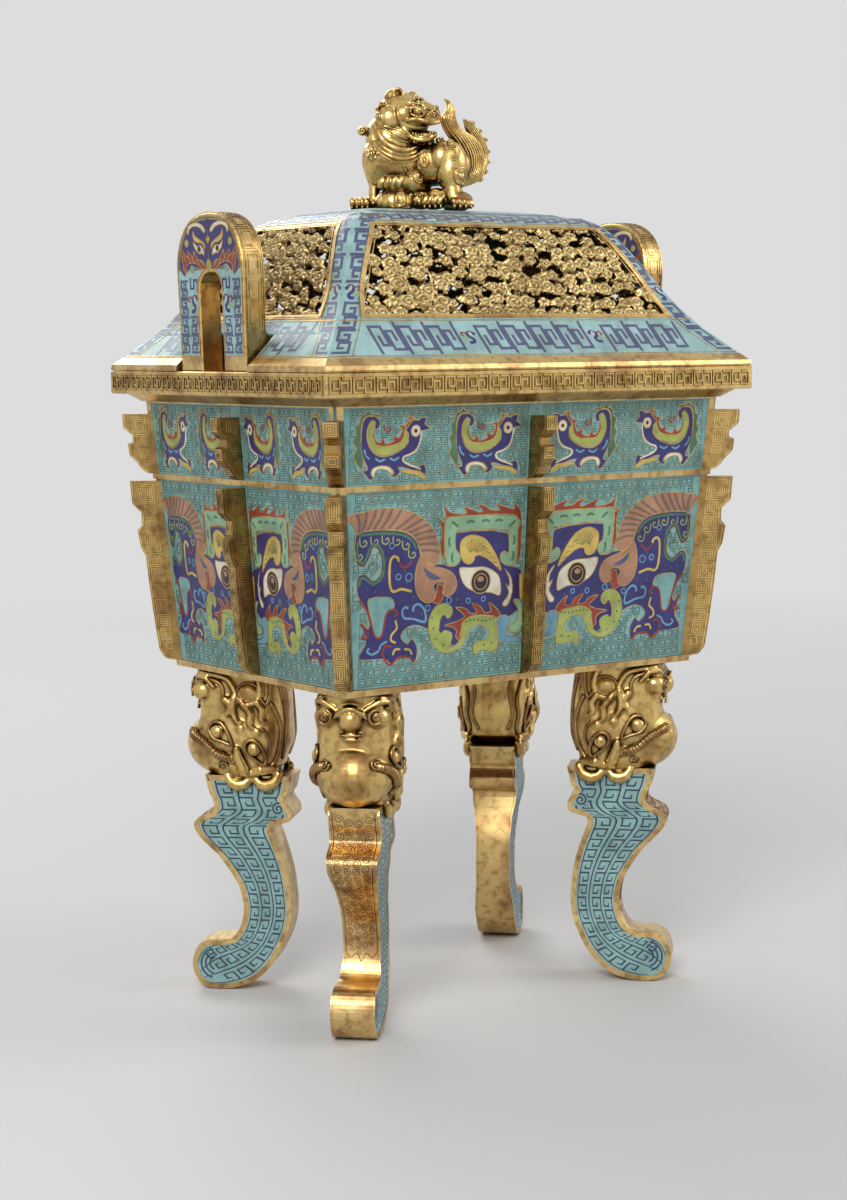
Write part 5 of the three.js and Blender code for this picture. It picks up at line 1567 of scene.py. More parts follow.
class Clay:
    """Balls, bars and coils that are fused into one cast piece."""

    def __init__(self):
        self.verts, self.faces = [], []

    def add(self, verts, faces):
        base = len(self.verts)
        self.verts += [Vector(v) for v in verts]
        self.faces += [tuple(base + i for i in face) for face in faces]

    def ball(self, centre, radii, turn=None, rings=12, sides=18):
        """A stretched ball."""
        verts, faces = [], []
        for j in range(rings + 1):
            a = math.pi * j / rings
            for i in range(sides):
                b = 2 * math.pi * i / sides
                p = Vector((radii[0] * math.sin(a) * math.cos(b), radii[1] * math.sin(a) * math.sin(b),
                            radii[2] * math.cos(a)))
                verts.append(Vector(centre) + (turn @ p if turn else p))
        for j in range(rings):
            for i in range(sides):
                k = (i + 1) % sides
                faces.append((j * sides + i, j * sides + k, (j + 1) * sides + k, (j + 1) * sides + i))
        self.add(verts, faces)

    def bar(self, path, radii, closed=False, sides=10):
        """A round bar along a line, with round ends."""
        path = [Vector(p) for p in path]
        count = len(path)
        if not isinstance(radii, (list, tuple)):
            radii = [radii] * count
        spots = [(path[i], self.heading(path, i, closed), radii[i]) for i in range(count)]
        if not closed:
            first, last = spots[0], spots[-1]
            spots = ([(first[0] - first[1] * first[2] * k, first[1], first[2] * r) for k,
                      r in ((0.95, 0.25), (0.6, 0.8))] + spots
                     + [(last[0] + last[1] * last[2] * k, last[1], last[2] * r) for k,
                        r in ((0.6, 0.8), (0.95, 0.25))])
        verts, faces = [], []
        normal = spots[0][1].orthogonal().normalized()
        for place, ahead, radius in spots:
            normal = (normal - ahead * normal.dot(ahead)).normalized()
            side = ahead.cross(normal)
            verts += [place
                      + (normal * math.cos(2 * math.pi * k / sides)
                         + side * math.sin(2 * math.pi * k / sides)) * radius
                      for k in range(sides)]
        rows = len(spots)
        for i in range(rows if closed else rows - 1):
            a, b = i * sides, ((i + 1) % rows) * sides
            for k in range(sides):
                m = (k + 1) % sides
                faces.append((a + k, a + m, b + m, b + k))
        if not closed:
            faces += [tuple(range(sides)), tuple(range((rows - 1) * sides, rows * sides))]
        self.add(verts, faces)

    @staticmethod
    def heading(path, i, closed):
        count = len(path)
        a = path[i - 1] if i or closed else path[0]
        b = path[(i + 1) % count] if i < count - 1 or closed else path[-1]
        return (b - a).normalized()

    def coil(self, centre, normal, radius, turns, thick, hand=1, rise=0.0, start=0.0, tall=1.0):
        """A spiral bar on a plane, rising towards its middle."""
        centre, normal = Vector(centre), Vector(normal).normalized()
        flat = Vector((0, 0, 1)).cross(normal)
        flat = flat.normalized() if flat.length > 0.05 else Vector((1, 0, 0))
        up = normal.cross(flat)
        steps = max(8, int(turns * 14))
        path = []
        for k in range(steps + 1):
            f = k / steps
            r = radius * (1 - f) + thick * 0.4 * f
            a = start + hand * 2 * math.pi * turns * f
            path.append(centre + flat * (r * math.cos(a)) + up * (r * tall * math.sin(a))
                        + normal * (rise * f))
        self.bar(path, [thick] * len(path), False, 8)

    def levels(self, rings):
        """A skin through rings of points."""
        count = len(rings[0])
        faces = [tuple(range(count)), tuple(range((len(rings) - 1) * count, len(rings) * count))]
        for i in range(len(rings) - 1):
            for k in range(count):
                m = (k + 1) % count
                faces.append((i * count + k, i * count + m, (i + 1) * count + m, (i + 1) * count + k))
        self.add([p for ring in rings for p in ring], faces)

    def tree(self):
        """The forms so far, for finding places on their surface."""
        return BVHTree.FromPolygons(self.verts, self.faces)

    def mesh(self, name, material):
        """The forms as a mesh in metres."""
        return new_mesh(name, [v * MM for v in self.verts], self.faces, [material])

    def fuse(self, name, grain, material):
        """One skin round all the forms."""
        thing = show(name, self.mesh(name, material), False)
        skin = thing.modifiers.new("skin", "REMESH")
        skin.mode = "VOXEL"
        skin.voxel_size = grain * MM
        soft = thing.modifiers.new("soft", "SMOOTH")
        soft.factor = 0.5
        soft.iterations = 1
        apply_all(thing)
        thing.data.materials.clear()
        thing.data.materials.append(material)
        faces = thing.data.polygons
        faces.foreach_set("material_index", [0] * len(faces))
        faces.foreach_set("use_smooth", [True] * len(faces))
        return thing

    def plain(self, name, material):
        """The forms as they are, without a common skin."""
        mesh = self.mesh(name, material)
        face_out(mesh)
        return show(name, mesh)


def changing(radii, places):
    """Radii between the given ones, at places counted from the first."""
    places = [min(p, len(radii) - 1.001) for p in places]
    return [radii[int(p)] + (radii[int(p) + 1] - radii[int(p)]) * (p % 1) for p in places]


# Leg heads: a mask on each side of a round muzzle, drawn from the foot's own place

HEAD_LEVELS = [(0.0, -90, -34, 25), (0.1, -97, -26, 30), (0.35, -104, -20, 34.5), (0.66, -103, -22, 32),
               (1.0, -100, -19, 30)]
HEAD_LOW, HEAD_HIGH = 196.3, 291.5
MUZZLE = ((-41, 0, 223), (33, 33, 29))
ROUND = 3.0


def head_level(z):
    """Back, front and half width of the head's core at a height."""
    share = min(max((z - HEAD_LOW) / (HEAD_HIGH - HEAD_LOW), 0), 1)
    for low, high in zip(HEAD_LEVELS, HEAD_LEVELS[1:]):
        if share <= high[0]:
            f = (share - low[0]) / (high[0] - low[0])
            f = f * f * (3 - 2 * f)
            return [a + (b - a) * f for a, b in zip(low[1:], high[1:])]
    return HEAD_LEVELS[-1][1:]


def skin(u, z):
    """How far out the head's side lies."""
    back, front, half = head_level(z)
    away = abs((2 * u - back - front) / (front - back))
    core = half * max(0, 1 - away ** ROUND) ** (1 / ROUND)
    (cu, _, cz), (ru, rv, rz) = MUZZLE
    rest = 1 - ((u - cu) / ru) ** 2 - ((z - cz) / rz) ** 2
    return max(core, rv * math.sqrt(rest) if rest > 0 else 0)


def leg_head():
    """The casting of one head."""
    clay, fine = Clay(), Clay()
    rings = []
    for j in range(25):
        z = HEAD_LOW + (HEAD_HIGH - HEAD_LOW) * j / 24
        back, front, half = head_level(z)
        ring = []
        for i in range(36):
            a = 2 * math.pi * i / 36
            c, s = math.cos(a), math.sin(a)
            c, s = math.copysign(abs(c) ** (2 / ROUND), c), math.copysign(abs(s) ** (2 / ROUND), s)
            ring.append(((back + front) / 2 + (front - back) / 2 * c, half * s, z))
        rings.append(ring)
    clay.levels(rings)
    clay.ball(*MUZZLE, None, 20, 28)
    # Nose with its volutes and the rings below it
    clay.ball((-23, 0, 271), (11.5, 11, 10.5))
    clay.bar([(-14.5 - 0.02 * v * v, v, 270 + 11.5 * math.cos(v / 10.5)) for v in range(-14, 15, 2)], 1.5)
    clay.bar([(-18.5 - 0.02 * v * v, v, 272.5 + 12.5 * math.cos(v / 11.5)) for v in range(-16, 17, 2)], 1.4)
    for z, reach, depth in ((258.5, 9, -18.5), (254.5, 7.5, -18.2)):
        clay.bar([(depth - 0.03 * v * v / 2, v, z) for v in (-reach, -reach / 2, 0, reach / 2, reach)],
                 [1.0, 1.6, 1.8, 1.6, 1.0])
    for side in (-1, 1):
        def on(u, z, lift=0.0, side=side):
            return Vector((u, side * (skin(u, z) + lift), z))

        def ridge(text, radii, lift=0.3, closed=False, side=side, to=None):
            path = smooth(points(text), closed, 4)
            if isinstance(radii, (list, tuple)):
                radii = changing(radii, [k / 4 for k in range(len(path))])
            (to or fine).bar([on(u, z, lift) for u, z in path], radii, closed)
        clay.ball((-28, side * 21, 273), (10.5, 10.5, 9.5))
        fine.coil((-18.2, side * 22, 273), (1, side * 0.25, 0), 7.2, 1.6, 1.25, side, 0.6, 1.2)
        clay.bar([(-20, side * 12, 279), (-24, side * 24, 286), (-32, side * 30, 285),
                  (-40, side * 31, 276)], [2.2, 2.6, 2.4, 1.4])
        # Folds of the brow, the cabochon and the flames that hang from it
        ridge("-27,289 -40.6,287.4 -51.4,284 -57.2,276 -61.6,267 -70.3,261.8 -78.2,265.3 -81.4,272 -80,281"
              " -76,289", 2.4, 0.6, False, side, clay)
        ridge("-33,284 -43,281 -47.8,275 -47.8,268 -50,262", 1.9, 0.3)
        ridge("-81,268 -86,262 -89,268 -90,280 -89,289", 1.9, 0.3)
        clay.ball(on(-70.5, 272, -1.2), (9.4, 4.6, 8.2))
        for text in ("-50,266 -54.5,260 -52,253.5 -47.5,252", "-58,268 -57,256 -61,246 -65,246.5",
                     "-66,262 -72.5,254 -72,244 -76.5,240.5", "-78.5,264 -83,257 -82,249 -86.5,245.5"):
            ridge(text, [3.4, 3.0, 2.2, 0.8], 0.8, False, side, clay)
        for u, z in ((-63.5, 240), (-77.8, 237), (-48.5, 249)):
            clay.ball(on(u, z, -1.5), (4.6, 3.4, 4.6))
        # Eyes, sockets and the rope between them
        clay.ball(on(-42.5, 237, -1.6), (7.2, 6.0, 7.0))
        fine.coil(on(-42.5, 237, 1.2), (0.15, side, 0.1), 5.8, 1.8, 1.15, side, 2.2, 0.6)
        ridge("-34.5,239 -38.5,245.5 -46,245 -52,237 -56,226 -48,228.4 -39,231.5", 1.7, 1.2, True)
        clay.ball(on(-75, 222.4, -1.6), (6.8, 6.0, 7.0))
        fine.coil(on(-75, 222.4, 1.2), (0, side, 0.1), 5.4, 1.8, 1.1, -side, 2.2, 2.2)
        ridge("-67.5,226 -72.5,230.5 -80,227.5 -85,216 -83.5,207.5 -77,211.5 -69.5,218", 1.7, 1.2, True)
        rope = smooth(points("-19,233 -23,231 -28.5,228.5 -35,223.5 -41.5,217.6 -48,214.6 -53,213.2"),
                      False, 14)
        fine.bar([on(u, z, 1.6) for u, z in rope],
                 [3.9 + 0.5 * math.sin(i * 1.15) for i in range(len(rope))], False, 14)
        fine.coil(on(-17.5, 234.5, 2.0), (0.72, side * 0.66, 0.2), 5.4, 1.9, 1.2, side, 2.0, 0)
        clay.ball(on(-54, 213.4, 0.8), (4.6, 3.6, 4.6))
        fine.coil(on(-55, 213, 3.2), (-0.2, side, 0), 3.4, 1.3, 0.9, -side, 1.2)
        # Ear at the back, drop nose and lips over the foot
        fine.bar([on(-70.5 + 10.2 * math.cos(k * math.pi / 12), 272 + 8.8 * math.sin(k * math.pi / 12), 0.6)
                  for k in range(24)],
                 1.3, True)
        ridge("-91,262 -96,250 -98.5,238 -97,224 -92,210 -87,203", 2.3, 0.2)
        ridge("-95,285 -99,268 -101.5,248 -101,228 -97,212", 2.0, 0.2)
        ridge("-83,240 -88,234 -89.5,225 -87,217", 1.6, 0.2)
        ridge("-60,222 -61.5,214 -65,205 -67,199.5", [3.2, 4.8, 5.4, 3.6], 0.8, False, side, clay)
        for z in (200.5, 197.8):
            clay.bar([(-72.5, side * 29, z), (-67.5, side * 31.5, z), (-62.5, side * 29.5, z)], 1.25)
        for text, sizes in (("-49,196 -52.5,190.5 -58.5,188 -65,189.5 -69.5,194.5",
                             [3.4, 5.4, 6.2, 5.4, 3.6]),
                            ("-73.5,194.5 -78,189.8 -84.5,188 -91.5,191 -95.5,198",
                             [3.6, 5.4, 6.2, 5.6, 4.0])):
            spots = points(text)
            clay.bar([(u, side * 24.2, z) for u, z in spots], sizes)
        clay.bar([(-69, side * 25, 199), (-80, side * 28, 203), (-92, side * 24, 203)], [4, 5.5, 4])
        fine.coil(on(-46, 205.5, 0.0), (0.1, side, -0.4), 5.2, 1.6, 0.7, side)
    return clay, fine


def place_heads():
    """The four heads, each a copy of the same casting turned to its corner."""
    clay, fine = leg_head()
    casts = {"cast": clay.fuse("leg_head_cast", 1.15, GILT),
             "chasing": fine.plain("leg_head_chasing", WORN_GILT)}
    for kind, cast in casts.items():
        for place, (sx, sy) in CORNERS.items():
            at = stand(sx, sy)
            spots = [at(*(vertex.co / MM)) for vertex in cast.data.vertices]
            mesh = cast.data.copy()
            mesh.vertices.foreach_set("co", [c for spot in spots for c in spot])
            face_out(mesh)
            settle(show(f"head_{place}_{kind}", mesh, False), "vessel", ("leg_head_" + place,))
        bpy.data.objects.remove(cast)


place_heads()


# Lion finial: its forms stand in its own frame, right and near as the front left corner
# sees it, and its details are laid on them from that side

DOME_TOP = 693.9
LION_PLACE = Vector((5.0, -3.7, 0))
LION_RIGHT = Vector((0.809, -0.588, 0))
LION_NEAR = Vector((-0.588, -0.809, 0))
LION_FORMS = [
    ((-39, 3, 44), (26.5, 23, 28)), ((-50, 2, 67.5), (10.5, 13, 13.5)), ((5, 3, 45), (15, 16, 16)),
    ((-40, 2, 62), (22, 20, 18)), ((-4, -2, 41), (34, 18, 20)), ((13, 8, 41), (14, 14, 19)),
    ((16, -14, 40), (13, 12, 19)), ((15, -4, 43), (13, 16, 16)), ((12, 14, 33), (11, 9, 15)),
    ((-29, 4, 82.5), (23, 19, 20)), ((-40.5, 13, 79), (12.5, 11, 12.5)), ((-28, 19, 82.5), (7.5, 6, 8)),
    ((-4, 13, 82.5), (8, 9, 8.5)), ((-7, 14, 86.8), (6, 7, 4.5)), ((-9, 12, 64.5), (10, 9, 4.2)),
    ((-2, 14, 78), (6, 8, 4.5)), ((-14, 12, 84.5), (14.5, 12, 10)), ((-8, 14, 77.5), (12, 11, 5)),
    ((-20, 14, 77), (13, 10, 7)), ((-17, 10, 63.5), (15, 11, 4.6)), ((-13, 14, 62.5), (9, 8, 4)),
    ((-18, 6, 70), (11, 9, 9)), ((-31, 12, 66), (14, 10, 9)), ((-37, 14, 6), (17.5, 14, 13.5)),
    ((-14, 8, 9), (13, 9, 8.5)), ((-21, 14, 25), (9, 8.5, 11)), ((-22, -2, 16), (18, 12, 14)),
    ((-58, 5, 6), (8, 7, 6.5)), ((0, 10, 10), (11, 9, 9.5)), ((20, 14, 8), (12, 9, 8)),
    ((14, -14, 12), (11, 9, 14)),
]
LION_BARS = [
    (((-56.6, 2, 36), (-54.5, 4, 22), (-55, 5, 10)), (7.5, 5, 5)),
    (((-38, 20, 23), (-22, 15, 25)), (6.2, 7.5)),
    (((13, 13, 30), (13.5, 13, 20), (15, 14, 10)), (9.5, 7.5, 8)),
    (((14, -15, 30), (14, -15, 10)), (9, 8)),
]
LION_PAWS = [
    ((-66.5, 9, 5.5), (10, 8, 6.5), -0.15, ((-74, 13), (-69.6, 15.5), (-65, 16.5), (-60.6, 15.5)),
     (2.3, 3.4, 5.4)),
    ((-38, 21, 23), (12, 7, 6), 0.4, ((-48, 23.5), (-42.6, 26.6), (-37, 27.6), (-31.6, 27)), (2.95, 4, 6)),
    ((-2.5, 14, 7), (12.5, 8, 7), 0.45, ((-10.5, 19.5), (-6, 21.5), (-1.2, 22), (3.6, 21)), (2.5, 3.4, 6)),
    ((22, 17, 5), (11, 8, 5.5), -0.5, ((15.5, 23.5), (20.5, 23.5), (25.5, 21.5), (30, 18)), (2.7, 3.4, 4.6)),
    ((18, -20, 5), (12, 8, 5.5), -0.3, ((12, -27), (17, -28), (22, -28)), (2.7, 3.2, 4.6)),
]
TAIL_LEFT = points("22,24 29,34 27.5,47 19,60 9,72 6.0,81 11,88.5 12.4,93.8 8.6,97.6")
TAIL_RIGHT = points("28,21 43,27 51,39 51,53 43,64 28.5,71 21,80 20,89.5 15.2,96.4 8.6,97.6")
TAIL_BACK = points("32,22 47,28 55,42 56,56 50,67 43.5,75 36.5,80 30,81.5")
TAIL_INNER = points("26,24 39,31 45.5,43 44,55 38.5,64 33.5,71 31,76 30,81.5")
TAIL_KNOBS = points("46.5,70.5,3.2 52.5,63,3 55.5,53,2.6 56,44,2.4 53.5,35.5,2.4 48.5,28.5,2.2 39,77.5,2.6")
LION_TURN = Matrix((LION_RIGHT, -LION_NEAR, Vector((0, 0, 1)))).transposed()

# Its details are drawn on an enlarged cut of the photograph, whose pixels are brought to mm
CUT_FOOT, CUT_LEFT = 1240, 165
CUT_LEFT_AT = -76.7
CUT_WIDE, CUT_TALL = 0.1007, 0.0975
BROW_CURLS = points("716,262,3,1 757,243,2.8,-1 798,256,2.8,1 735,300,2.6,1 780,290,2.8,-1 825,290,2.8,1"
                    " 850,325,2.4,-1 893,292,2.8,1 925,330,2.4,1")
NOSE_CURLS = points("905,378,3.8 866,386,3 940,410,3")
BEARD_CURLS = points("745,610 775,636 812,646 850,632 880,612")
MANE_CURLS = points("505,290 462,305 432,335 405,372 388,410 435,400")
BACK_CURLS = points("905,606,3.6 950,618,3 1000,604,3.6 1046,638,3.2 1012,662,2.8 866,640,2.8")
CLOTH_CURLS = points("700,1100 745,1090 790,1098 730,1180 780,1170")
BUTTON = (-64.6, 5, 69.5)


def lion_spot(r, n, z):
    """A place in the lion's frame."""
    return LION_RIGHT * r + LION_NEAR * n + Vector((0, 0, z))


def shared(line, steps):
    """Places on a line of two coordinates, at even lengths."""
    far = lengths_of(line)
    places = []
    for k in range(steps + 1):
        want = far[-1] * k / steps
        i = max(j for j in range(len(far) - 1) if far[j] <= want + 1e-9)
        f = (want - far[i]) / (far[i + 1] - far[i])
        places.append(tuple(p + (q - p) * f for p, q in zip(line[i], line[i + 1])))
    return places


def plume(clay, fine, left, right, thick, strands, tip):
    """A flame of the tail between two lines, with strands along both faces."""
    steps = 26
    edges = list(zip(shared(smooth(left, False, 4), steps), shared(smooth(right, False, 4), steps)))
    deep = [thick * math.sin(math.pi * min(0.5, 0.16 + 0.9 * k / steps)) * (1 - 0.8 * (k / steps) ** 2.5)
            for k in range(steps + 1)]
    angles = [2 * math.pi * i / 20 for i in range(20)]
    rings = []
    for k, ((lx, lz), (rx, rz)) in enumerate(edges):
        middle = Vector(((lx + rx) / 2, 0, (lz + rz) / 2))
        arm = Vector(((rx - lx) / 2, 0, (rz - lz) / 2))
        if arm.length < 0.5:
            arm = Vector((0.5, 0, 0))
        rings.append([middle + arm * math.cos(a) + Vector((0, deep[k] * math.sin(a), 0)) for a in angles])
    clay.levels(rings)
    for side in (-1, 1):
        for i in range(1, strands):
            f = i / strands
            bulge = 2 * math.sqrt(f * (1 - f))
            path, sizes = [], []
            for k, ((lx, lz), (rx, rz)) in enumerate(edges):
                if k > steps - 1 - tip * abs(f - 0.5):
                    break
                wide = math.dist((lx, lz), (rx, rz)) / strands
                path.append(Vector((lx + (rx - lx) * f, side * (deep[k] * bulge + 0.3), lz + (rz - lz) * f)))
                sizes.append(min(max(0.42 * wide, 0.45), 1.1))
            fine.bar(path, sizes, False, 8)


def lion_forms(clay, fine):
    """Body, head, legs, paws, rock and tail."""
    for place, radii in LION_FORMS:
        clay.ball(lion_spot(*place), radii, LION_TURN, 16, 24)
    for path, radii in LION_BARS:
        clay.bar([lion_spot(*p) for p in path], list(radii), False, 16)
    for (r, n, z), radii, lean, toes, size in LION_PAWS:
        clay.ball(lion_spot(r, n, z), radii, LION_TURN)
        turn = LION_TURN @ Matrix.Rotation(lean, 3, "Y")
        for tr, tn in toes:
            clay.ball(lion_spot(tr, tn, z + 0.8), size, turn, 10, 12)
            if z < 20:
                fine.ball(lion_spot(tr, tn + 2.2, 2.2), (1.2, 1.6, 2.4), LION_TURN, 8, 8)
    plume(clay, fine, TAIL_LEFT, TAIL_RIGHT, 7, 10, 6)
    plume(clay, fine, TAIL_INNER, TAIL_BACK, 5, 6, 6)
    for x, z, size in TAIL_KNOBS:
        clay.ball((x, 0, z), (size, 3, size), None, 8, 10)
        for side in (-1, 1):
            fine.coil((x, side * 2.6, z), (0, side, 0), size * 0.8, 1.3, 0.6, -side, 0.6)


class Chaser:
    """Lays small forms on the lion, at places given in pixels of the photograph's cut."""

    def __init__(self, clay, fine):
        self.clay, self.fine, self.tree = clay, fine, clay.tree()

    def at(self, r, z, lift=0.0, near=True):
        """The nearest or farthest place of the surface at a place of the frame, and its normal."""
        ray = (LION_NEAR if near else -LION_NEAR) + Vector((0, 0, -0.08))
        ray.normalize()
        hit = self.tree.ray_cast(LION_RIGHT * r + Vector((0, 0, z)) + ray * 120, -ray)
        if hit[0] is None:
            return None, ray
        normal = hit[1] if hit[1].dot(ray) > 0 else -hit[1]
        return hit[0] + normal * lift, normal

    def on(self, x, y, lift=0.0):
        """The same at a pixel."""
        return self.at(CUT_LEFT_AT + (x - CUT_LEFT) * CUT_WIDE, (CUT_FOOT - y) * CUT_TALL, lift)

    def line(self, path, lift):
        """The places of a line that lie on the surface."""
        return [place for place in (self.on(x, y, lift)[0] for x, y in path) if place]

    def ridge(self, path, radius, lift=0.2, closed=False, steps=5):
        """A bar of one thickness."""
        path = points(path) if isinstance(path, str) else path
        path = self.line(smooth(path, closed, steps), lift)
        if len(path) > 2:
            self.fine.bar(path, radius, closed, 8)

    def taper(self, text, radii, lift=0.2):
        """A bar whose thickness changes evenly through the given radii."""
        path = self.line(smooth(points(text), False, 4), lift)
        places = [k / (len(path) - 1) * (len(radii) - 1) for k in range(len(path))]
        self.clay.bar(path, changing(radii, places), False, 8)

    def knob(self, x, y, radius, hand=1, lift=0.0):
        """A ball with a coil on it."""
        place, normal = self.on(x, y, lift)
        if place:
            self.clay.ball(place, (radius * 0.8,) * 3, None, 8, 12)
            self.fine.coil(place + normal * radius * 0.5, normal, radius * 0.9, 1.5, radius * 0.24, hand,
                           radius * 0.3)

    def lump(self, x, y, radius, lift=0.0, tall=1.0, to=None):
        """A ball."""
        place, _ = self.on(x, y, lift)
        if place:
            (to or self.clay).ball(place, (radius, radius, radius * tall), LION_TURN, 8, 12)

    def loops(self, x, y, wide, tall, shares, radius, lift):
        """Ovals inside each other, each a share of a size."""
        angles = [2 * math.pi * k / 14 for k in range(14)]
        for share in shares:
            path = [(x + wide * share * math.cos(a), y + tall * share * math.sin(a)) for a in angles]
            self.ridge(path, radius, lift, True, 2)


def lion_face(chaser):
    """Ears, brow, eye, nose, lips, teeth, cheek and beard."""
    clay, fine = chaser.clay, chaser.fine
    tilt = LION_TURN @ Matrix.Rotation(-0.42, 3, "Y")
    clay.ball(lion_spot(-37.5, 9, 100.2), (8.2, 4.2, 5), tilt)
    clay.bar([lion_spot(-32.5, 13, 100) + tilt @ Vector((4.2 * math.cos(a), 0, 5.2 * math.sin(a))) for a in
              [k * math.pi / 8 for k in range(16)]], 1.3, True, 8)
    clay.ball(lion_spot(-21, -4, 101), (5, 3, 3.2), LION_TURN)
    for x, y, radius, hand in BROW_CURLS:
        chaser.knob(x, y, radius, hand)
    chaser.lump(765, 362, 4.6, -1.8)
    chaser.ridge("700,352 735,330 780,338 822,374 796,398 752,394 716,376", 1.1, 0.9, True)
    chaser.lump(770, 364, 1.7, 2.4, 1, fine)
    chaser.taper("640,292 668,322 712,326 760,318 806,330", [1.0, 1.8, 1.8, 1.6, 1.0], 0.0)
    for x, y, radius in NOSE_CURLS:
        chaser.knob(x, y, radius, 1, -0.2)
    chaser.taper("668,440 720,425 780,428 840,444 900,455 950,448", [1.2, 2.2, 2.6, 2.4, 2.4, 1.8])
    chaser.taper("652,456 690,482 760,494 850,492 920,486 962,470", [1.0, 1.5, 1.6, 1.6, 1.5, 1.1], 0.8)
    chaser.taper("652,470 676,535 722,582 790,604 860,596 915,560 945,520",
                 [1.1, 1.6, 1.9, 2.1, 2.0, 1.6, 1.1], 0.4)
    for k, x in enumerate(range(700, 945, 25)):
        place, _ = chaser.on(x, 486, -1.2)
        if place:
            fine.ball(place - Vector((0, 0, 2.3)), (1.0, 1.0, 3.0 if k in (0, 8) else 1.9), None, 8, 8)
        place, _ = chaser.on(x, 590 - abs(x - 800) * 0.18, -1.0)
        if place:
            fine.ball(place + Vector((0, 0, 2.2)), (0.95, 0.95, 1.7), None, 8, 8)
    chaser.taper("612,290 596,350 612,420 640,490 690,560 730,610", [0.9, 1.8, 2.2, 2.2, 1.8, 1.0], 0.0)
    for x, y in BEARD_CURLS:
        chaser.knob(x, y, 2.6, -1, 0.2)
    chaser.ridge("470,482 520,545 580,590 650,622 722,606 690,565 620,530 540,500", 1.0, 0.2, True)
    chaser.ridge("520,520 590,560 660,590", 0.8)


def lion_chest(chaser):
    """Mane, button curl, and collars with a ticked fringe, a rosette and medallions."""
    clay, fine = chaser.clay, chaser.fine
    for x, y in MANE_CURLS:
        chaser.knob(x, y, 3.3)
    clay.bar([lion_spot(-55, 4, 69.5), lion_spot(-63, 4, 69.5)], 3.8)
    clay.ball(lion_spot(*BUTTON), (4.5, 4.5, 4.5))
    fine.coil(lion_spot(BUTTON[0], BUTTON[1] + 4, BUTTON[2]), LION_NEAR, 3.6, 1.6, 0.9, 1, 0.8)
    chaser.taper("405,440 418,520 470,610 560,672 660,694 745,668 800,620",
                 [1.4, 2.3, 2.8, 3.0, 2.8, 2.0, 1.3], -0.4)
    chaser.taper("362,480 376,600 440,690 540,752 640,772 740,750 822,690",
                 [1.1, 2.0, 2.4, 2.6, 2.4, 2.0, 1.1], -0.3)
    chaser.ridge("350,520 370,636 440,722 540,786 640,804 745,782 835,716", 0.8)
    for k in range(21):
        f = k / 20
        x, y = 420 + 400 * f, 728 + 78 * math.sin(math.pi * (0.12 + 0.8 * f)) - 20 * f
        chaser.ridge([(x, y), (x - 6 + 8 * f, y + 26)], 0.6, 0.15, False, 3)
    chaser.knob(372, 726, 3.6, 1, 0.2)
    for a in [k * math.tau / 7 for k in range(7)]:
        chaser.lump(372 + 44 * math.cos(a), 726 + 44 * math.sin(a), 1.8, 0.2)
    for x, y, wide, tall in ((772, 920, 38, 66), (825, 790, 34, 54)):
        chaser.loops(x, y, wide, tall, (1.0, 0.68), 1.05, 0.5)
        chaser.lump(x, y, 2.0, -0.8, 1.6)
    chaser.ridge("640,826 655,880 690,922 735,930", 0.9, 0.3)
    chaser.ridge("668,836 690,880 725,905 745,880", 0.8, 0.3)


def lion_back(chaser):
    """Haunch, thigh and the curls along the back, then the far side, plainer."""
    clay, fine = chaser.clay, chaser.fine
    chaser.loops(1138, 928, 0.74, 1, (74, 58, 42), 1.15, 0.5)
    chaser.lump(1138, 928, 3.2, 0.0, 1.3)
    chaser.loops(1075, 720, 0.85, 1, (66, 50, 34), 0.85, 0.2)
    chaser.taper("958,862 946,930 962,1000 1000,1050", [1.0, 2.0, 2.2, 1.2], -0.4)
    for x, y, radius in BACK_CURLS:
        chaser.knob(x, y, radius, 1, 0.3)
    for x, z in ((-8, 59.5), (3, 60), (14, 58.5)):
        clay.ball((x, 0, z), (4.2, 3.4, 4.2), None, 8, 12)
        fine.coil((x, -3, z + 1), (0, -1, 0.2), 3.2, 1.4, 0.8, 1, 0.8)
    for r, z, size in ((14, 40, 9), (-40, 46, 8), (-34, 84, 6)):
        place, normal = chaser.at(r, z, 0.2, False)
        if place:
            fine.coil(place, normal, size, 2.2, 0.9, -1, 0.8)


def rock_cloth(chaser):
    """Folds and curls of the cloth over the rock."""
    for line in ("600,1052 578,1110 572,1180", "612,1050 612,1110 618,1190", "626,1052 646,1110 652,1180",
                 "572,1180 590,1196 618,1190 652,1180"):
        chaser.taper(line, [1.3, 1.7, 1.0], 0.1)
    chaser.ridge("470,1040 450,1110 440,1190", 0.9, 0.1)
    chaser.ridge("520,1060 512,1120 508,1190", 0.9, 0.1)
    chaser.ridge("540,1192 600,1206 690,1198", 1.0)
    for x, y in CLOTH_CURLS:
        chaser.knob(x, y, 2.6)


def lion():
    """The lion, one paw raised on a rock, its head turned and its tail fanned upwards."""
    clay, fine = Clay(), Clay()
    lion_forms(clay, fine)
    chaser = Chaser(clay, fine)
    for part in (lion_face, lion_chest, lion_back, rock_cloth):
        part(chaser)
    low = DOME_TOP + 0.3
    for forms in (clay, fine):
        moved = [v + LION_PLACE + Vector((0, 0, DOME_TOP)) for v in forms.verts]
        forms.verts = [Vector((v.x, v.y, max(v.z, low))) for v in moved]
    settle(clay.fuse("lion_cast", 0.8, GILT), "cover", ("lion_finial",))
    settle(fine.plain("lion_chasing", GILT), "cover", ("lion_finial",))


lion()


# What the CAD nodes keep: their shape, with a real finish

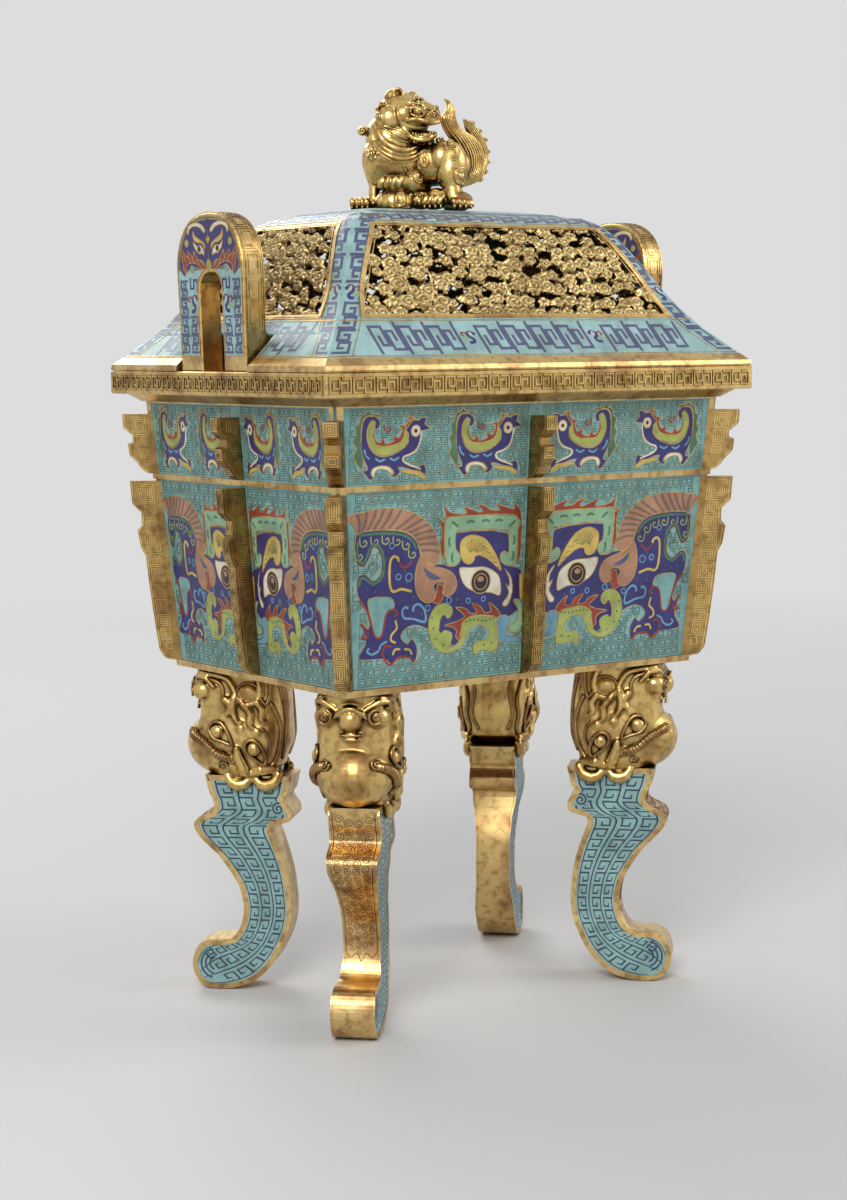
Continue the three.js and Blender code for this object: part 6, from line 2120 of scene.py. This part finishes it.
BY_SLOT = {"gilt": GILT, "copper": COPPER, "body_enamel": TURQUOISE, "leg_enamel": LEG_TURQUOISE,
           "cover_enamel": PALE}
BY_NODE = {"rim_frame": POLISHED, "cover_lip": POLISHED, "mid_band": POLISHED, "base_band": POLISHED}
for row in frame["record"]["subparts"]:
    node = row["node"]
    finish = BY_NODE.get(node, DARK_GILT if node.startswith("flange") else BY_SLOT[row["material_slot"]])
    slots = frame["nodes"][node].data.materials
    slots.clear()
    slots.append(finish)


# Stage

BACKGROUND = (0.72, 0.72, 0.72)


def shown_rays(nodes, links):
    """1 for the rays that see the pale background: from the camera, from metal and through glass."""
    rays = nodes.new("ShaderNodeLightPath")
    shown = rays.outputs["Is Camera Ray"]
    for kind in ("Is Glossy Ray", "Is Transmission Ray"):
        either = nodes.new("ShaderNodeMath")
        either.operation = "MAXIMUM"
        links.new(shown, either.inputs[0])
        links.new(rays.outputs[kind], either.inputs[1])
        shown = either.outputs["Value"]
    return shown


def floor():
    """A plain pale floor that fades into the background far from the burner."""
    bpy.ops.mesh.primitive_plane_add(size=40, location=(0, 0, 0))
    plane = bpy.context.object
    plane.name = "floor"
    material = bpy.data.materials.new("floor")
    material.use_nodes = True
    nodes, links = material.node_tree.nodes, material.node_tree.links
    shader = nodes["Principled BSDF"]
    shader.inputs["Base Color"].default_value = (0.62, 0.62, 0.62, 1)
    shader.inputs["Roughness"].default_value = 0.7
    far = nodes.new("ShaderNodeEmission")
    far.inputs["Color"].default_value = (*BACKGROUND, 1)
    far.inputs["Strength"].default_value = 1.0
    length = nodes.new("ShaderNodeVectorMath")
    length.operation = "LENGTH"
    links.new(nodes.new("ShaderNodeNewGeometry").outputs["Position"], length.inputs[0])
    mix = nodes.new("ShaderNodeMixShader")
    fade = nodes.new("ShaderNodeMath")
    fade.operation = "MULTIPLY"
    links.new(span(nodes, links, length.outputs["Value"], 0.0, 1.0, 0.7, 3.4), fade.inputs[0])
    links.new(shown_rays(nodes, links), fade.inputs[1])
    links.new(fade.outputs["Value"], mix.inputs["Fac"])
    links.new(shader.outputs["BSDF"], mix.inputs[1])
    links.new(far.outputs["Emission"], mix.inputs[2])
    links.new(mix.outputs["Shader"], nodes["Material Output"].inputs["Surface"])
    plane.data.materials.append(material)
    plane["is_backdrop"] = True


def lamp(name, place, size, power):
    """A soft area lamp aimed at the middle of the burner."""
    data = bpy.data.lights.new(name, "AREA")
    data.size = size
    data.energy = power
    light = bpy.data.objects.new(name, data)
    light.location = place
    light.rotation_euler = (Vector((0, 0, 0.4)) - Vector(place)).to_track_quat("-Z", "Y").to_euler()
    bpy.context.scene.collection.objects.link(light)


def world():
    """A pale surround, plain where it shows and softer where it only lights."""
    surround = bpy.data.worlds.new("surround")
    bpy.context.scene.world = surround
    surround.use_nodes = True
    nodes, links = surround.node_tree.nodes, surround.node_tree.links
    room = nodes["Background"]
    place = nodes.new("ShaderNodeTexCoord").outputs["Generated"]
    split = nodes.new("ShaderNodeSeparateXYZ")
    links.new(place, split.inputs["Vector"])
    sky = ramp(nodes, links, split.outputs["Z"],
               [(0.0, (0.5, 0.5, 0.5)), (0.35, (0.62, 0.62, 0.62)), (0.8, (1, 1, 1))])
    links.new(sky, room.inputs["Color"])
    room.inputs["Strength"].default_value = 0.45
    seen = nodes.new("ShaderNodeBackground")
    seen.inputs["Color"].default_value = (*BACKGROUND, 1)
    seen.inputs["Strength"].default_value = 1.0
    mix = nodes.new("ShaderNodeMixShader")
    links.new(shown_rays(nodes, links), mix.inputs["Fac"])
    links.new(room.outputs["Background"], mix.inputs[1])
    links.new(seen.outputs["Background"], mix.inputs[2])
    links.new(mix.outputs["Shader"], nodes["World Output"].inputs["Surface"])


def camera():
    """The photograph's view."""
    yaw, pitch, roll = (math.radians(a) for a in (CAMERA_YAW, CAMERA_PITCH, CAMERA_ROLL))
    ahead = Vector((math.cos(pitch) * math.cos(yaw), math.cos(pitch) * math.sin(yaw), -math.sin(pitch)))
    right = Vector((math.sin(yaw), -math.cos(yaw), 0))
    up = right.cross(ahead)
    flat = right * math.cos(roll) + up * math.sin(roll)
    upright = up * math.cos(roll) - right * math.sin(roll)
    data = bpy.data.cameras.new("camera")
    data.lens = CAMERA_LENS
    data.sensor_width = 36
    view = bpy.data.objects.new("camera", data)
    bpy.context.scene.collection.objects.link(view)
    turn = Matrix((flat, upright, -ahead)).transposed().to_4x4()
    view.matrix_world = Matrix.Translation(CAMERA_PLACE) @ turn
    bpy.context.scene.camera = view


floor()
lamp("key", (-2.4, -2.2, 2.4), 1.6, 90)
lamp("fill", (2.6, -1.8, 1.8), 2.0, 35)
lamp("back", (0.5, 2.8, 2.4), 2.0, 50)
world()
camera()
bpy.context.scene.view_settings.view_transform = "Standard"

boxes = {"cad": CAD_BOX, "visual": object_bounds()}
{name: [list(corner) for corner in box] for name, box in boxes.items()}
